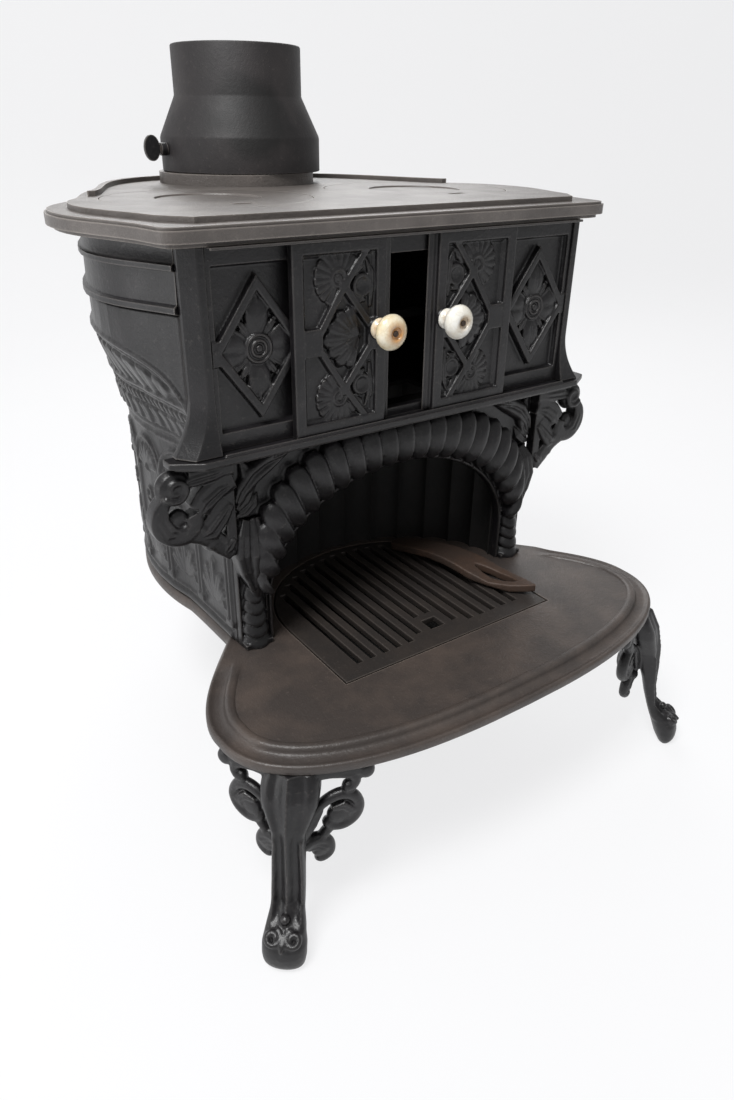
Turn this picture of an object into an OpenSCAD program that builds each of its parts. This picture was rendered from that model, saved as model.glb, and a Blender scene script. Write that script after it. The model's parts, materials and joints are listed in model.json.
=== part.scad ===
// Cast iron parlour cook stove: open arched hearth below, two sliding doors above,
// a flat cooking top with two lids, and a flue bonnet with its damper at the back.
// The stove is drawn with the front panels at y = 0, then moved so that the origin lies
// on the floor under the middle of the whole stove. +X is right, +Y is back, +Z is up.

/* [Hearth] */
// Height of the flat hearth above the floor
hearth_z = 160; // [140:2:200]
// Half width of the apron
apron_half = 227; // [220:1:236]
// How far the apron reaches in front of the front panels
apron_front = 170; // [162:1:186]
// Thickness of the hearth plate and the other flat plates
deck_t = 6; // [5:0.5:8]
// Depth of the apron's rim below the hearth surface
rim_drop = 11; // [10:1:14]

/* [Lower body] */
// Height from the hearth to the underside of the door ledge
lower_h = 176; // [170:2:210]
// Half width of the lower body at its front corners
lower_front_half = 160; // [158:1:166]
// Half width of the lower body at the middle of its sides
lower_mid_half = 163; // [160:1:170]
// Wall thickness of the side, back and front castings
wall = 5; // [4:0.5:6]
// Width of the front casting beside the arch
arch_side = 30; // [28:1:40]
// Height of the arch's springing above the hearth
arch_spring = 40; // [30:1:45]
// Rise of the arch above its springing
arch_rise = 95; // [85:1:103]

/* [Door level] */
// Height of the door opening level, from the ledge's top to the cooking top
door_level_h = 142; // [130:2:170]
// Thickness of the door ledge
ledge_t = 8; // [6:0.5:10]
// Half width of the ledge
ledge_half = 212; // [208:1:216]
// Half width of the opening between the fixed front panels
opening_half = 85; // [70:1:86]
// Half width of the body at the inner edges of its corner posts
post_in = 173; // [168:1:175]
// Half width of the upper body at its widest place
upper_max_half = 216; // [208:1:222]

/* [Doors] */
// Width of a door
door_w = 88; // [87:1:90]
// Thickness of a door with its frame
door_t = 7; // [6:0.5:8]
// How far the left door stands open
door_left_open = 24; // [0:1:60]
// How far the right door stands open
door_right_open = 11; // [0:1:60]
// Diameter of a porcelain knob
knob_d = 27; // [22:1:30]
// Length of a knob, from the door to its face
knob_l = 24; // [18:1:30]

/* [Cooking top] */
// Height of the plate's moulded edge
edge_h = 13; // [11:1:16]
// Height of the raised field above the edge moulding
field_h = 4; // [3:0.5:6]
// Half width of the plate across its side ears
ear_half = 234; // [230:1:240]
// Radius of a cooking lid
lid_r = 84; // [70:1:86]
// Distance of a lid's centre from the stove's centre line
lid_x = 104; // [100:1:108]
// Distance of the lids' centres behind the front panels
lid_y = 136; // [125:1:140]

/* [Flue] */
// Distance of the flue's axis behind the front panels
flue_y = 290; // [284:1:296]
// Outer radius of the pipe end
pipe_r = 60.5; // [55:0.5:66]
// Outer radius of the bonnet's skirt
skirt_r = 77; // [76:0.5:80]
// Height of the collar ring on the cooking top
collar_h = 10; // [6:1:14]
// Height of the skirt
skirt_h = 30; // [26:1:40]
// Height of the taper between skirt and pipe
taper_h = 34; // [26:1:44]
// Height of the pipe end
pipe_h = 42; // [40:1:90]
// How far to the right the bonnet sits on its collar
bonnet_x = 6; // [-6:1:6]
// Radius of the damper spindle
spindle_r = 3; // [2.5:0.25:4]

/* [Hidden] */
$fn = 64;

// Clearances
seam = 0.2;          // between castings that are bolted or stood together
back_seam = 0.4;     // between the back castings and the sides
slide_gap = 0.3;     // under and round what slides or lifts
turn_gap = 0.05;     // radial, round the spindle and the bolts

// Levels
ledge_z = hearth_z + lower_h;
level_z = ledge_z + ledge_t;          // top of the ledge
top_z = level_z + door_level_h;       // underside of the plate's edge
nose_z = top_z + edge_h;
field_z = nose_z + field_h;
collar_z = field_z + collar_h;
skirt_z = collar_z + skirt_h;
taper_z = skirt_z + taper_h;
pipe_z = taper_z + pipe_h;
spindle_z = collar_z + skirt_h * 0.66;

// Plan of the whole stove
plate_back = 378;                     // back end of the cooking top
apron_mid_y = -70;                    // where the apron is widest
apron_side = apron_front + apron_mid_y;
arch_y = 14;                          // front face of the arch casting
arch_t = 8;
neck_y = arch_y + arch_t + seam;      // front corner of the side castings
lower_back_y = 358;
upper_back_y = 362;
upper_front_y = 12;
front_leg_at = [-192, -123];
front_leg_turn = 228;                 // the way the left leg's foot points
rear_leg_at = [0, 315];
foot_x = 45;                          // middle of the toe, outwards from the leg's middle
foot_r = 17;
foot_front = foot_r - front_leg_at[1] - foot_x * sin(front_leg_turn);
mid_y = (plate_back - max(apron_front, foot_front)) / 2;

iron = [0.17, 0.165, 0.16];
hearth_iron = [0.24, 0.21, 0.19];
top_iron = [0.36, 0.34, 0.32];
rust = [0.42, 0.27, 0.18];
porcelain = [0.93, 0.90, 0.82];

// ---- Curves ----

function bez(a, b, c, d, n) = [for (i = [0 : n - 1])
    let (t = i / n, u = 1 - t) u*u*u*a + 3*u*u*t*b + 3*u*t*t*c + t*t*t*d];

// Arc of an oval about [0, 0]: power 2 is an ellipse, a higher power is squarer
function oval(rx, ry, power, a0, a1, n) = [for (i = [0 : n]) let (a = a0 + (a1 - a0) * i / n)
    [rx * sign(cos(a)) * pow(abs(cos(a)), 2 / power), ry * sign(sin(a)) * pow(abs(sin(a)), 2 / power)]];

function both_sides(half) = concat(half, [for (i = [len(half) - 1 : -1 : 0])
    if (abs(half[i][0]) > 0.01) [-half[i][0], half[i][1]]]);
function unit(v) = v / norm(v);

// Moves every side of a closed outline inwards by d (outlines run clockwise seen from above)
function inset(p, d) = let (m = len(p)) [for (k = [0 : m - 1])
    let (u = unit(p[k] - p[(k + m - 1) % m]), v = unit(p[(k + 1) % m] - p[k]),
        nu = [u[1], -u[0]], nv = [v[1], -v[0]]) p[k] + d * (nu + nv) / (1 + nu * nv)];

// ---- Outlines, seen from above ----

// Half outlines run from the front corner to the middle of the back
lower_half = concat(
    bez([-lower_front_half, neck_y], [-lower_front_half - 1, 52], [-lower_mid_half + 2, 81],
        [-lower_mid_half, 110], 6),
    bez([-lower_mid_half, 110], [-lower_mid_half - 31, 236], [-110, lower_back_y], [0, lower_back_y], 14),
    [[0, lower_back_y]]);
upper_half = concat(
    bez([-post_in - 16, upper_front_y], [-post_in - 28, 42], [-upper_max_half, 62],
        [-upper_max_half, 95], 6),
    bez([-upper_max_half, 95], [-upper_max_half, 172], [-112, upper_back_y], [0, upper_back_y], 14),
    [[0, upper_back_y]]);
split = 14;             // the side castings end here, and the back castings begin

base_out = 3;           // the base reaches this far outside the side castings
base_half = concat(part_of(grown(lower_half, base_out), 1, len(lower_half) - 2),
    [[0, lower_back_y + base_out]]);
apron_outline = both_sides(concat(
    [[0, -apron_front]],
    [for (q = oval(apron_half, apron_side, 2.5, 264, 184, 16)) [-abs(q[0]), apron_mid_y + q[1]]],
    bez([-apron_half, apron_mid_y], [-apron_half, -32], [-lower_front_half - 25, 10], base_half[0], 9),
    base_half));

corner_x = 205;         // front corners of the cooking top
front_edge_y = -11;
plate_side = concat(
    bez([-corner_x - 1, 8], [-corner_x - 5, 48], [-ear_half, 74], [-ear_half, 118], 9),
    bez([-ear_half, 118], [-ear_half, 152], [-ear_half + 13, 176], [-ear_half + 35, 198], 7),
    bez([-ear_half + 35, 198], [-168, 236], [-158, plate_back], [0, plate_back], 16),
    [[0, plate_back]]);
plate_outline = both_sides(concat(
    [[0, front_edge_y]],
    bez([-corner_x + 18, front_edge_y], [-corner_x + 4, front_edge_y], [-corner_x, front_edge_y + 6],
        plate_side[0], 4),
    plate_side));
cut_outline = both_sides(concat([[0, front_edge_y], [-corner_x + 22, front_edge_y]],
    part_of(plate_side, 1, len(plate_side) - 1)));

grate_half = 113;
grate_front = 76;
grate_rear = 119;
grate_outline = both_sides(concat(
    [[0, -grate_front], [-grate_half, -grate_front]],
    [for (q = oval(grate_half, grate_rear - 18, 2, 180, 90, 16)) [q[0], 18 + q[1]]]));

// ---- Helpers ----

module placed() {
    translate([0, -mid_y, 0]) children();
}

module slab(outline, z0, z1) {
    translate([0, 0, z0]) linear_extrude(z1 - z0) polygon(outline);
}

// Elevation: x across and z up, from y0 back to y1
module upright(y0, y1) {
    translate([0, y1, 0]) rotate([90, 0, 0]) linear_extrude(y1 - y0) children();
}

// Triangles that close a ring of m points, each pair lying across the ring
function lid_faces(m) = [for (k = [0 : ceil(m / 2) - 2])
    each concat(k + 1 < m - 2 - k ? [[k, k + 1, m - 2 - k]] : [], [[k, m - 2 - k, m - 1 - k]])];
function moved(f, d) = [for (q = f) [q[0] + d, q[1] + d, q[2] + d]];
function turned_over(f) = [for (q = f) [q[2], q[1], q[0]]];

// Skin over closed rings of points, all with the same count, from the bottom to the top
module skin(rings) {
    m = len(rings[0]);
    n = len(rings);
    polyhedron(points = [for (r = rings) each r],
        faces = concat(turned_over(lid_faces(m)),
            [for (j = [0 : n - 2], k = [0 : m - 1])
                each [[(j+1)*m + (k+1) % m, (j+1)*m + k, j*m + k],
                      [j*m + (k+1) % m, (j+1)*m + (k+1) % m, j*m + k]]],
            moved(lid_faces(m), (n - 1)*m)), convexity = 8);
}

function grown(path, d) = d == 0 ? path : [for (k = [0 : len(path) - 1])
    let (a = path[max(k - 1, 0)], b = path[min(k + 1, len(path) - 1)], t = unit(b - a))
    path[k] - d * [t[1], -t[0]]];
function at(p, z) = [for (q = p) [q[0], q[1], z]];
function part_of(p, a, b) = [for (k = [a : b]) p[k]];
function blend(p, q, s) = [for (k = [0 : len(p) - 1]) p[k] * (1 - s) + q[k] * s];

// The part of a half outline that a side casting follows, or the whole back's, clear of the sides
function run(half, p, back) = !back ? part_of(p, 0, split) :
    let (first = p[split] + back_seam * unit(half[split + 1] - half[split - 1]))
    concat([first], part_of(p, split + 1, len(p) - 1),
    [for (k = [len(p) - 2 : -1 : split + 1]) [-p[k][0], p[k][1]]], [[-first[0], first[1]]]);

// Section of a wall on a half outline: out outside it and w thick inside it
function wall_ring(half, out, w, back) = let (a = run(half, grown(half, out), back),
    b = run(half, grown(half, -w), back)) concat(a, [for (k = [len(b) - 1 : -1 : 0]) b[k]]);

// ---- Hearth ----

rim_z = hearth_z - rim_drop;
deck_z = hearth_z - deck_t;
bead_z = hearth_z + 2;
well_depth = 36;
bolt_r = 3;
boss_r = 8;             // bosses for the leg bolts, under the plate
boss_h = 4;
pad_in = 22;            // a bolt's distance behind its leg's middle

module for_each_leg() {
    translate(front_leg_at) rotate([0, 0, front_leg_turn]) children();
    mirror([1, 0, 0]) translate(front_leg_at) rotate([0, 0, front_leg_turn]) children();
    translate(rear_leg_at) rotate([0, 0, 90]) children();
}

module hearth_plate() {
    color(hearth_iron) placed() difference() {
        union() {
            slab(inset(apron_outline, 12), deck_z, hearth_z);
            difference() {
                union() {
                    slab(apron_outline, rim_z, rim_z + 6);
                    slab(inset(apron_outline, 4), rim_z + 5, hearth_z - 3);
                }
                slab(inset(apron_outline, 10), rim_z - 1, deck_z);
            }
            difference() {
                slab(inset(apron_outline, 16), deck_z + 1, bead_z);
                slab(inset(apron_outline, 24), hearth_z, bead_z + 1);
                translate([-300, neck_y - 22, hearth_z]) cube([600, 400, 10]);
            }
            slab(inset(grate_outline, -7), deck_z - 4, deck_z + 1);
            for_each_leg() translate([-pad_in, 0, deck_z - boss_h]) cylinder(h = boss_h + 1, r = boss_r);
        }
        slab(inset(grate_outline, -0.6), deck_z, bead_z);
        slab(inset(grate_outline, 8), rim_z, bead_z);
        for_each_leg() translate([-pad_in, 0, deck_z - boss_h - 1])
            cylinder(h = boss_h + deck_t - 1, r = bolt_r + turn_gap);
    }
}

slot_n = 14;
slot_pitch = 13.6;
slot_w = 6;
key_size = 15;          // square hole for the shaker handle
key_y = -46;

module grate() {
    color(hearth_iron) placed() difference() {
        slab(grate_outline, deck_z + slide_gap, hearth_z);
        for (i = [0 : slot_n - 1]) {
            x = (i - (slot_n - 1) / 2) * slot_pitch;
            front = abs(x) < slot_pitch ? key_y + 16 : (abs(x) < 2 * slot_pitch ? key_y - 6 : key_y - 13);
            back = 18 + (grate_rear - 26) * sqrt(1 - pow(x / (grate_half - 6), 2));
            translate([x - slot_w / 2, front, deck_z - 1]) cube([slot_w, back - front, deck_t + 2]);
        }
        translate([-key_size / 2, key_y - key_size / 2, deck_z - 1]) cube([key_size, key_size, deck_t + 2]);
    }
}

module ash_well() {
    color(iron) placed() difference() {
        slab(inset(grate_outline, 1), rim_z - well_depth + 7, deck_z - 4 - seam);
        slab(inset(grate_outline, 5), rim_z - well_depth + 11, deck_z);
    }
}

// ---- Legs: local +x faces outwards, the top stands under the plate's rim ----

leg_top = rim_z - seam;
leg_front = [[20, 1], [19, 0.9], [14, 0.79], [10.5, 0.64], [12, 0.55], [13, 0.37], [12.5, 0.27],
    [15, 0.2], [foot_r, 0.14], [foot_r, 0.05], [14, 0]];
leg_side = [[-14, 1], [11, 1], [20, 0.88], [26, 0.72], [28, 0.57], [29, 0.42], [32, 0.3], [36, 0.25],
    [53, 0.2], [foot_x + foot_r, 0.12], [foot_x + foot_r, 0.05], [57, 0], [42, 0], [37, 0.06], [33, 0.13],
    [26, 0.27], [20, 0.39], [16, 0.49], [11, 0.58], [6, 0.69], [-3, 0.82], [-11, 0.93]];
wing_turn = 112;

function scaled(p, h) = [for (q = p) [q[0], q[1] * h]];

// Shaft: the front view, the side view and the rounded toe seen from above, in one
module leg_shaft() {
    front = concat(leg_front, [for (k = [len(leg_front) - 1 : -1 : 0])
        [-leg_front[k][0], leg_front[k][1]]]);
    intersection() {
        rotate([90, 0, 90]) translate([0, 0, -40]) linear_extrude(110) polygon(scaled(front, leg_top));
        rotate([90, 0, 0]) translate([0, 0, -30]) linear_extrude(60) polygon(scaled(leg_side, leg_top));
        union() {
            translate([-30, -25, 0]) cube([30 + foot_x, 50, leg_top]);
            translate([foot_x, 0, 0]) cylinder(h = leg_top, r = foot_r);
        }
    }
}

// Pierced scroll beside the shaft, drawn flat: x along the plate's edge, y up
module wing() {
    t = 8;
    rotate([90, 0, 0]) translate([0, 0, -t / 2]) linear_extrude(t) difference() {
        union() {
            translate([0, leg_top - 6]) square([64, 6]);
            translate([64, leg_top - 8]) circle(r = 8);
            translate([45, leg_top - 17]) circle(r = 13);
            translate([38, leg_top - 45]) circle(r = 17);
            translate([23, leg_top - 87]) circle(r = 9);
            polygon([[0, leg_top - 96], [0, leg_top - 4], [8, leg_top - 4], [10, leg_top - 58],
                [32, leg_top - 24], [44, leg_top - 34], [30, leg_top - 90]]);
        }
        translate([46, leg_top - 17]) circle(r = 4);
        translate([41, leg_top - 43]) circle(r = 8.5);
        polygon([[13, leg_top - 53], [19, leg_top - 9], [34, leg_top - 9], [29, leg_top - 24]]);
    }
}

module leg() {
    difference() {
        union() {
            leg_shaft();
            for (s = [-1, 1]) translate([10, 0, 0]) rotate([0, 0, s * wing_turn]) wing();
            translate([-pad_in - 9, -9, leg_top - 12])
                cube([26, 18, deck_z - boss_h - seam - leg_top + 12]);
        }
        translate([-pad_in, 0, leg_top - 20]) cylinder(h = 60, r = bolt_r + turn_gap);
    }
}

module front_leg_left() {
    color(iron) placed() translate(front_leg_at) rotate([0, 0, front_leg_turn]) leg();
}

module front_leg_right() {
    color(iron) placed() mirror([1, 0, 0]) translate(front_leg_at) rotate([0, 0, front_leg_turn]) leg();
}

module rear_leg() {
    color(iron) placed() translate(rear_leg_at) rotate([0, 0, 90]) leg();
}

module leg_bolts() {
    color(rust) placed() for_each_leg() translate([-pad_in, 0, 0]) {
        translate([0, 0, leg_top - 12 - seam - 4]) cylinder(h = 4, r = 6, $fn = 6);
        translate([0, 0, leg_top - 14]) cylinder(h = hearth_z - 3 - leg_top + 14, r = bolt_r);
    }
}

// ---- Lower front ----

arch_z = hearth_z + arch_spring;
rope_t = 17;            // how far the lobed rope stands out
rope_w = 17;
column_in = lower_front_half - arch_side + 2;

arch_half = lower_front_half - arch_side;
arch_hole = concat([[-arch_half, hearth_z - 5]],
    [for (q = oval(arch_half, arch_rise, 2, 180, 0, 40)) [q[0], arch_z + q[1]]],
    [[arch_half, hearth_z - 5]]);
rope_in = [for (q = oval(arch_half + 6, arch_rise + 4, 2, 160, 20, 32)) [q[0], arch_z + q[1]]];
rope_out = [for (q = oval(arch_half + rope_w, ledge_z - seam - arch_z, 3, 28, 152, 32))
    [q[0], arch_z + q[1]]];
arch_casting = both_sides([[0, ledge_z - seam], [-lower_front_half + 3, ledge_z - seam],
    [-lower_front_half + 3, ledge_z - 9], [-lower_front_half, ledge_z - 9],
    [-lower_front_half, hearth_z + seam], [0, hearth_z + seam]]);

module arch_front() {
    color(iron) placed() {
        difference() {
            upright(arch_y, arch_y + arch_t) polygon(arch_casting);
            upright(arch_y - 1, arch_y + arch_t + 1) polygon(arch_hole);
            for (s = [-1, 1]) translate([s * (lower_front_half + column_in + 1) / 2, 0, arch_z])
                cube([lower_front_half - column_in + 1, 60, 4 * arch_spring], center = true);
        }
        upright(arch_y - rope_t, arch_y) polygon(concat(rope_in, rope_out));
    }
}

column_top = arch_z + 2 * arch_spring;
husk_n = 5;

// Corner column with stacked husks, on the left; z from the hearth to the bracket
module column() {
    x0 = column_in + seam;
    x1 = lower_front_half;
    pitch = (column_top - hearth_z - 2 * seam) / husk_n;
    translate([-x1, arch_y + 2, hearth_z + seam])
        cube([x1 - x0, arch_t - 2, column_top - hearth_z - 2 * seam]);
    difference() {
        for (i = [0 : husk_n - 1]) translate([-(x0 + x1) / 2, arch_y + arch_t, hearth_z + seam + i * pitch])
            cylinder(h = pitch, r1 = 10, r2 = (x1 - x0) / 2);
        translate([-x1, arch_y + arch_t, hearth_z]) cube([x1, 40, column_top - hearth_z]);
    }
}

module column_left() {
    color(iron) placed() column();
}

module column_right() {
    color(iron) placed() mirror([1, 0, 0]) column();
}

// Pierced scroll bracket between the column and the ledge, on the left
bracket_edge = concat([[-54, 0]], bez([-54, -5], [-64, -22], [-66, -44], [-54, -56], 8),
    bez([-54, -56], [-42, -68], [-24, -66], [-12, -84], 8), [[-seam, -84], [-seam, 0]]);

module bracket() {
    upright(arch_y - 11, arch_y + arch_t - 4) translate([-lower_front_half, ledge_z - seam]) difference() {
        polygon(bracket_edge);
        translate([-38, -30]) circle(r = 9);
        translate([-15, -44]) circle(r = 8);
        translate([-13, -16]) circle(r = 7);
    }
}

module bracket_left() {
    color(iron) placed() bracket();
}

module bracket_right() {
    color(iron) placed() mirror([1, 0, 0]) bracket();
}

// ---- Lower sides and back: upright below, then a cove out to the upper jackets ----

cove_z = ledge_z - 6;           // where the cove begins
jacket_z = level_z + 0.686 * door_level_h;
arch_low = level_z + 4;         // the cove's upper edge is an arch between these levels
arch_high = level_z + 0.54 * door_level_h;
cove_steps = 6;
cove_power = 1.2;
cove_bulge = 5;                 // the relief on the cove stands out from the wall below
side_arch_y = 150;
side_arch_r = 139;
back_arch_r = 140;

// Rise of the arch at each point of a path, from 0 to 1
function arch_rise_at(u) = pow(max(0, 1 - pow(abs(u), 3)), 1 / 3);
function side_rise(path) = [for (q = path) arch_rise_at((q[1] - side_arch_y) / side_arch_r)];
function back_rise(path) = [for (q = path) arch_rise_at(q[0] / back_arch_r)];
function lifted(p, z) = [for (k = [0 : len(p) - 1]) [p[k][0], p[k][1], z[min(k, len(p) - 1 - k)]]];
function bulge(s) = cove_bulge * pow(1 - s, 0.6);

function cove_rings(rise, w, back) = let (arch = [for (r = rise) arch_low + (arch_high - arch_low) * r])
    concat([for (z = [hearth_z + seam, cove_z - 2]) at(wall_ring(lower_half, 0, w, back), z)],
    [for (i = [0 : cove_steps]) let (s = i / cove_steps)
        lifted(wall_ring(blend(lower_half, upper_half, pow(s, cove_power)), bulge(s), w, back),
            [for (z = arch) cove_z + s * (z - cove_z)])],
    [at(wall_ring(upper_half, 0, w, back), jacket_z - seam)]);

module side() {
    skin(cove_rings(side_rise(part_of(upper_half, 0, split)), wall, false));
}

module side_left() {
    color(iron) placed() side();
}

module side_right() {
    color(iron) placed() mirror([1, 0, 0]) side();
}

module lower_back() {
    rise = back_rise(run(upper_half, upper_half, true));
    end = side_rise(upper_half)[split];
    color(iron) placed()
        skin(cove_rings(concat([end], part_of(rise, 1, len(rise) - 2), [end]), wall, true));
}

fire_y = neck_y;
fire_a = arch_half - 2;
fire_b = 100;
fire_t = 6;

module fireback() {
    inner = [for (q = oval(fire_a, fire_b, 2, 180, 0, 36)) [q[0], fire_y + q[1]]];
    outer = [for (q = oval(fire_a + fire_t, fire_b + fire_t, 2, 0, 180, 36)) [q[0], fire_y + q[1]]];
    color(iron) placed() slab(concat(inner, outer), hearth_z + seam, cove_z);
}

shelf_t = 5;
throat_half = lower_front_half / 2;     // of the opening that lets the smoke up

module smoke_shelf() {
    shelf = inset(both_sides(lower_half), wall + back_seam);
    color(iron) placed() difference() {
        slab(shelf, cove_z + seam, cove_z + seam + shelf_t);
        translate([-throat_half, 62, cove_z]) cube([2 * throat_half, 42, 20]);
    }
}

// ---- Door level ----

door_back_y = -1.5;
frame_y = door_back_y - door_t;         // front face of a door's frame
lip_gap = 0.7;                          // between the doors and the two lips that guide them
lip_t = 2;
lip_h = 2;
lip_y = frame_y - lip_gap - lip_t;
ledge_front = lip_y - 2;
panel_t = 8;

ledge_plan = both_sides([[0, ledge_front], [-ledge_half + 22, ledge_front], [-ledge_half, 0],
    [-ledge_half, upper_front_y - seam], [-lower_front_half - 1, upper_front_y - seam],
    [-lower_front_half + 1, arch_y + arch_t - 1], [0, arch_y + arch_t - 1]]);

module ledge() {
    color(iron) placed() {
        slab(inset(ledge_plan, 5), ledge_z, ledge_z + 4);
        slab(ledge_plan, ledge_z + 3, level_z);
        translate([-post_in, lip_y, level_z - 1]) cube([2 * post_in, lip_t, lip_h + 1]);
        translate([-opening_half + seam, 0, level_z - 1]) cube([2 * (opening_half - seam), panel_t, 8]);
    }
}

post_plan = [[-post_in - seam, -2], [-post_in - 6, -2], [-post_in - 16, 8],
    [-post_in - 16, upper_front_y - seam], [-post_in - seam, upper_front_y - seam]];
function flared(d) = [for (q = post_plan)
    [q[0] < -post_in - 1 ? q[0] - d : q[0], q[1] < 9 ? q[1] - (q[1] < 0 ? 0.4 : 0.2) * d : q[1]]];

// Corner post, chamfered on its outer corner, flaring out over the ledge
module corner_post() {
    skin([for (s = [[0, 16], [0.04, 13], [0.1, 7], [0.18, 2.5], [0.3, 0], [1, 0]])
        at(flared(s[1]), level_z + seam + s[0] * (door_level_h - 2 * seam))]);
}

module corner_post_left() {
    color(iron) placed() corner_post();
}

module corner_post_right() {
    color(iron) placed() mirror([1, 0, 0]) corner_post();
}

flower_x = 136;
flower_z = level_z + door_level_h / 2;
lozenge_w = 36;
lozenge_h = 49;

function lozenge(d) = [[-lozenge_w + d, 0], [0, lozenge_h - d], [lozenge_w - d, 0], [0, -lozenge_h + d]];

// Fixed front panel with a sunk field, a lozenge and a flower, on the left
module front_panel() {
    x0 = -post_in;
    w = post_in - opening_half - 2 * seam;
    z0 = level_z + seam;
    h = door_level_h - 2 * seam;
    difference() {
        translate([x0 + seam, 0, z0]) cube([w, panel_t, h]);
        translate([x0 + 5, -1, z0 + 16]) cube([w - 14, 1 + 3, h - 30]);
    }
    translate([-flower_x, 0, flower_z]) {
        upright(-1, 4) difference() {
            polygon(lozenge(0));
            polygon(lozenge(6));
        }
        upright(0, 4) circle(r = 21);
        upright(-1, 1) circle(r = 8);
    }
}

module front_panel_left() {
    color(iron) placed() front_panel();
}

module front_panel_right() {
    color(iron) placed() mirror([1, 0, 0]) front_panel();
}

module lintel() {
    color(iron) placed() translate([-opening_half + seam, 0, top_z - 15])
        cube([2 * (opening_half - seam), panel_t, 15 - seam]);
}

// Upper guide: a strip under the cooking top whose lip holds the doors' upper edges
module door_rail() {
    rail_t = 1.6;
    rail_y = frame_y - lip_gap - rail_t;
    color(iron) placed() {
        translate([-post_in, rail_y, top_z - 2]) cube([2 * post_in, rail_t, 2 - seam]);
        translate([-post_in, rail_y, top_z - 0.8]) cube([2 * post_in, -seam - rail_y, 0.8 - seam]);
    }
}

// ---- Upper jackets ----

function jacket_rings(w, back) = [for (s = [[0, 0], [0.03, 3.5], [0.12, 3.5], [0.16, 0.6], [0.63, 0],
    [0.65, 3], [0.73, 3], [0.76, 0], [1, 0]])
    at(wall_ring(upper_half, s[1], w, back), jacket_z + s[0] * (top_z - seam - jacket_z))];

module jacket() {
    skin(jacket_rings(wall, false));
}

module jacket_left() {
    color(iron) placed() jacket();
}

module jacket_right() {
    color(iron) placed() mirror([1, 0, 0]) jacket();
}

module upper_back() {
    color(iron) placed() skin(jacket_rings(wall, true));
}

bar_size = 7;
bar_y = 60;
bar_in = 5.62;          // the cove is narrower by this at the bar's height than at its upper edge
bar_half = -lookup(bar_y, [for (q = upper_half) [q[1], q[0]]]) - wall - bar_in;

module chamber_bar() {
    color(iron) placed() translate([-bar_half, bar_y, level_z + 62])
        cube([2 * bar_half, bar_size, bar_size]);
}

// ---- Doors ----

door_z = level_z + slide_gap;
door_h = door_level_h - 1 - 2 * slide_gap;
frame_w = 9;
knob_x = 15;            // from the door's meeting edge
knob_z = door_h / 2 + 5;
screw_r = 2;

// Right door, drawn from its meeting edge at x = 0
module door() {
    lip = 7;
    field_y = door_back_y - 3;
    difference() {
        union() {
            upright(field_y, door_back_y) square([door_w, door_h]);
            upright(frame_y, door_back_y) translate([lip, 0]) difference() {
                square([door_w - lip, door_h]);
                translate([frame_w, frame_w]) square([door_w - lip - 2 * frame_w, door_h - 2 * frame_w]);
            }
            upright(frame_y + 1.5, door_back_y) intersection() {
                translate([lip, 0]) square([door_w - lip, door_h]);
                translate([(door_w + lip) / 2, door_h / 2]) union() {
                    difference() {
                        polygon(scaled_pts(lozenge(0), 0.94, 1.36));
                        polygon(scaled_pts(lozenge(6), 0.94, 1.36));
                    }
                    circle(r = 17);
                    for (s = [-1, 1]) translate([-6, s * 46]) circle(r = 16);
                }
            }
            upright(frame_y - 2, door_back_y) translate([knob_x, knob_z]) circle(r = 8);
        }
        upright(frame_y - 3, 1) translate([knob_x, knob_z]) circle(r = screw_r + turn_gap);
    }
}

function scaled_pts(p, a, b) = [for (q = p) [q[0] * a, q[1] * b]];

module door_left() {
    color(iron) placed() translate([-door_left_open - slide_gap, 0, door_z]) mirror([1, 0, 0]) door();
}

module door_right() {
    color(iron) placed() translate([door_right_open + slide_gap, 0, door_z]) door();
}

// Knob turned about its own axis; its foot stands on the door's boss
module knob() {
    r = knob_d / 2;
    l = knob_l - 2;
    rotate([90, 0, 0]) rotate_extrude() polygon([[screw_r + turn_gap, 0], [8, 0], [8, 2], [6, 4], [5.4, 7],
        [6.2, 9.5], [r - 2, 11.5], [r - 0.5, 13], [r, 15.5], [r - 1, 18], [r - 3.5, l - 1.5],
        [7, l - 0.3], [5, l], [4.4, l - 1.5], [screw_r + turn_gap, l - 1.5]]);
}

module knob_screw() {
    l = knob_l - 2;
    rotate([90, 0, 0]) {
        translate([0, 0, -door_t - 1]) cylinder(h = l + door_t, r = screw_r);
        translate([0, 0, l - 1.4]) cylinder(h = 1.6, r = 4);
    }
}

knob_foot_y = frame_y - 2 - turn_gap;

module knob_left() {
    color(porcelain) placed() translate([-door_left_open - slide_gap - knob_x, knob_foot_y, door_z + knob_z])
        knob();
}

module knob_right() {
    color(porcelain) placed() translate([door_right_open + slide_gap + knob_x, knob_foot_y, door_z + knob_z])
        knob();
}

module knob_screw_left() {
    color(rust) placed() translate([-door_left_open - slide_gap - knob_x, knob_foot_y, door_z + knob_z])
        knob_screw();
}

module knob_screw_right() {
    color(rust) placed() translate([door_right_open + slide_gap + knob_x, knob_foot_y, door_z + knob_z])
        knob_screw();
}

// ---- Cooking top ----

lid_t = 6;
seat_w = 6;
field_in = 17;
under_z = nose_z - 5;           // underside of the plate inside its rim
flue_hole_r = 60;
collar_r = 75.5;
curb_h = 4;

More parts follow.
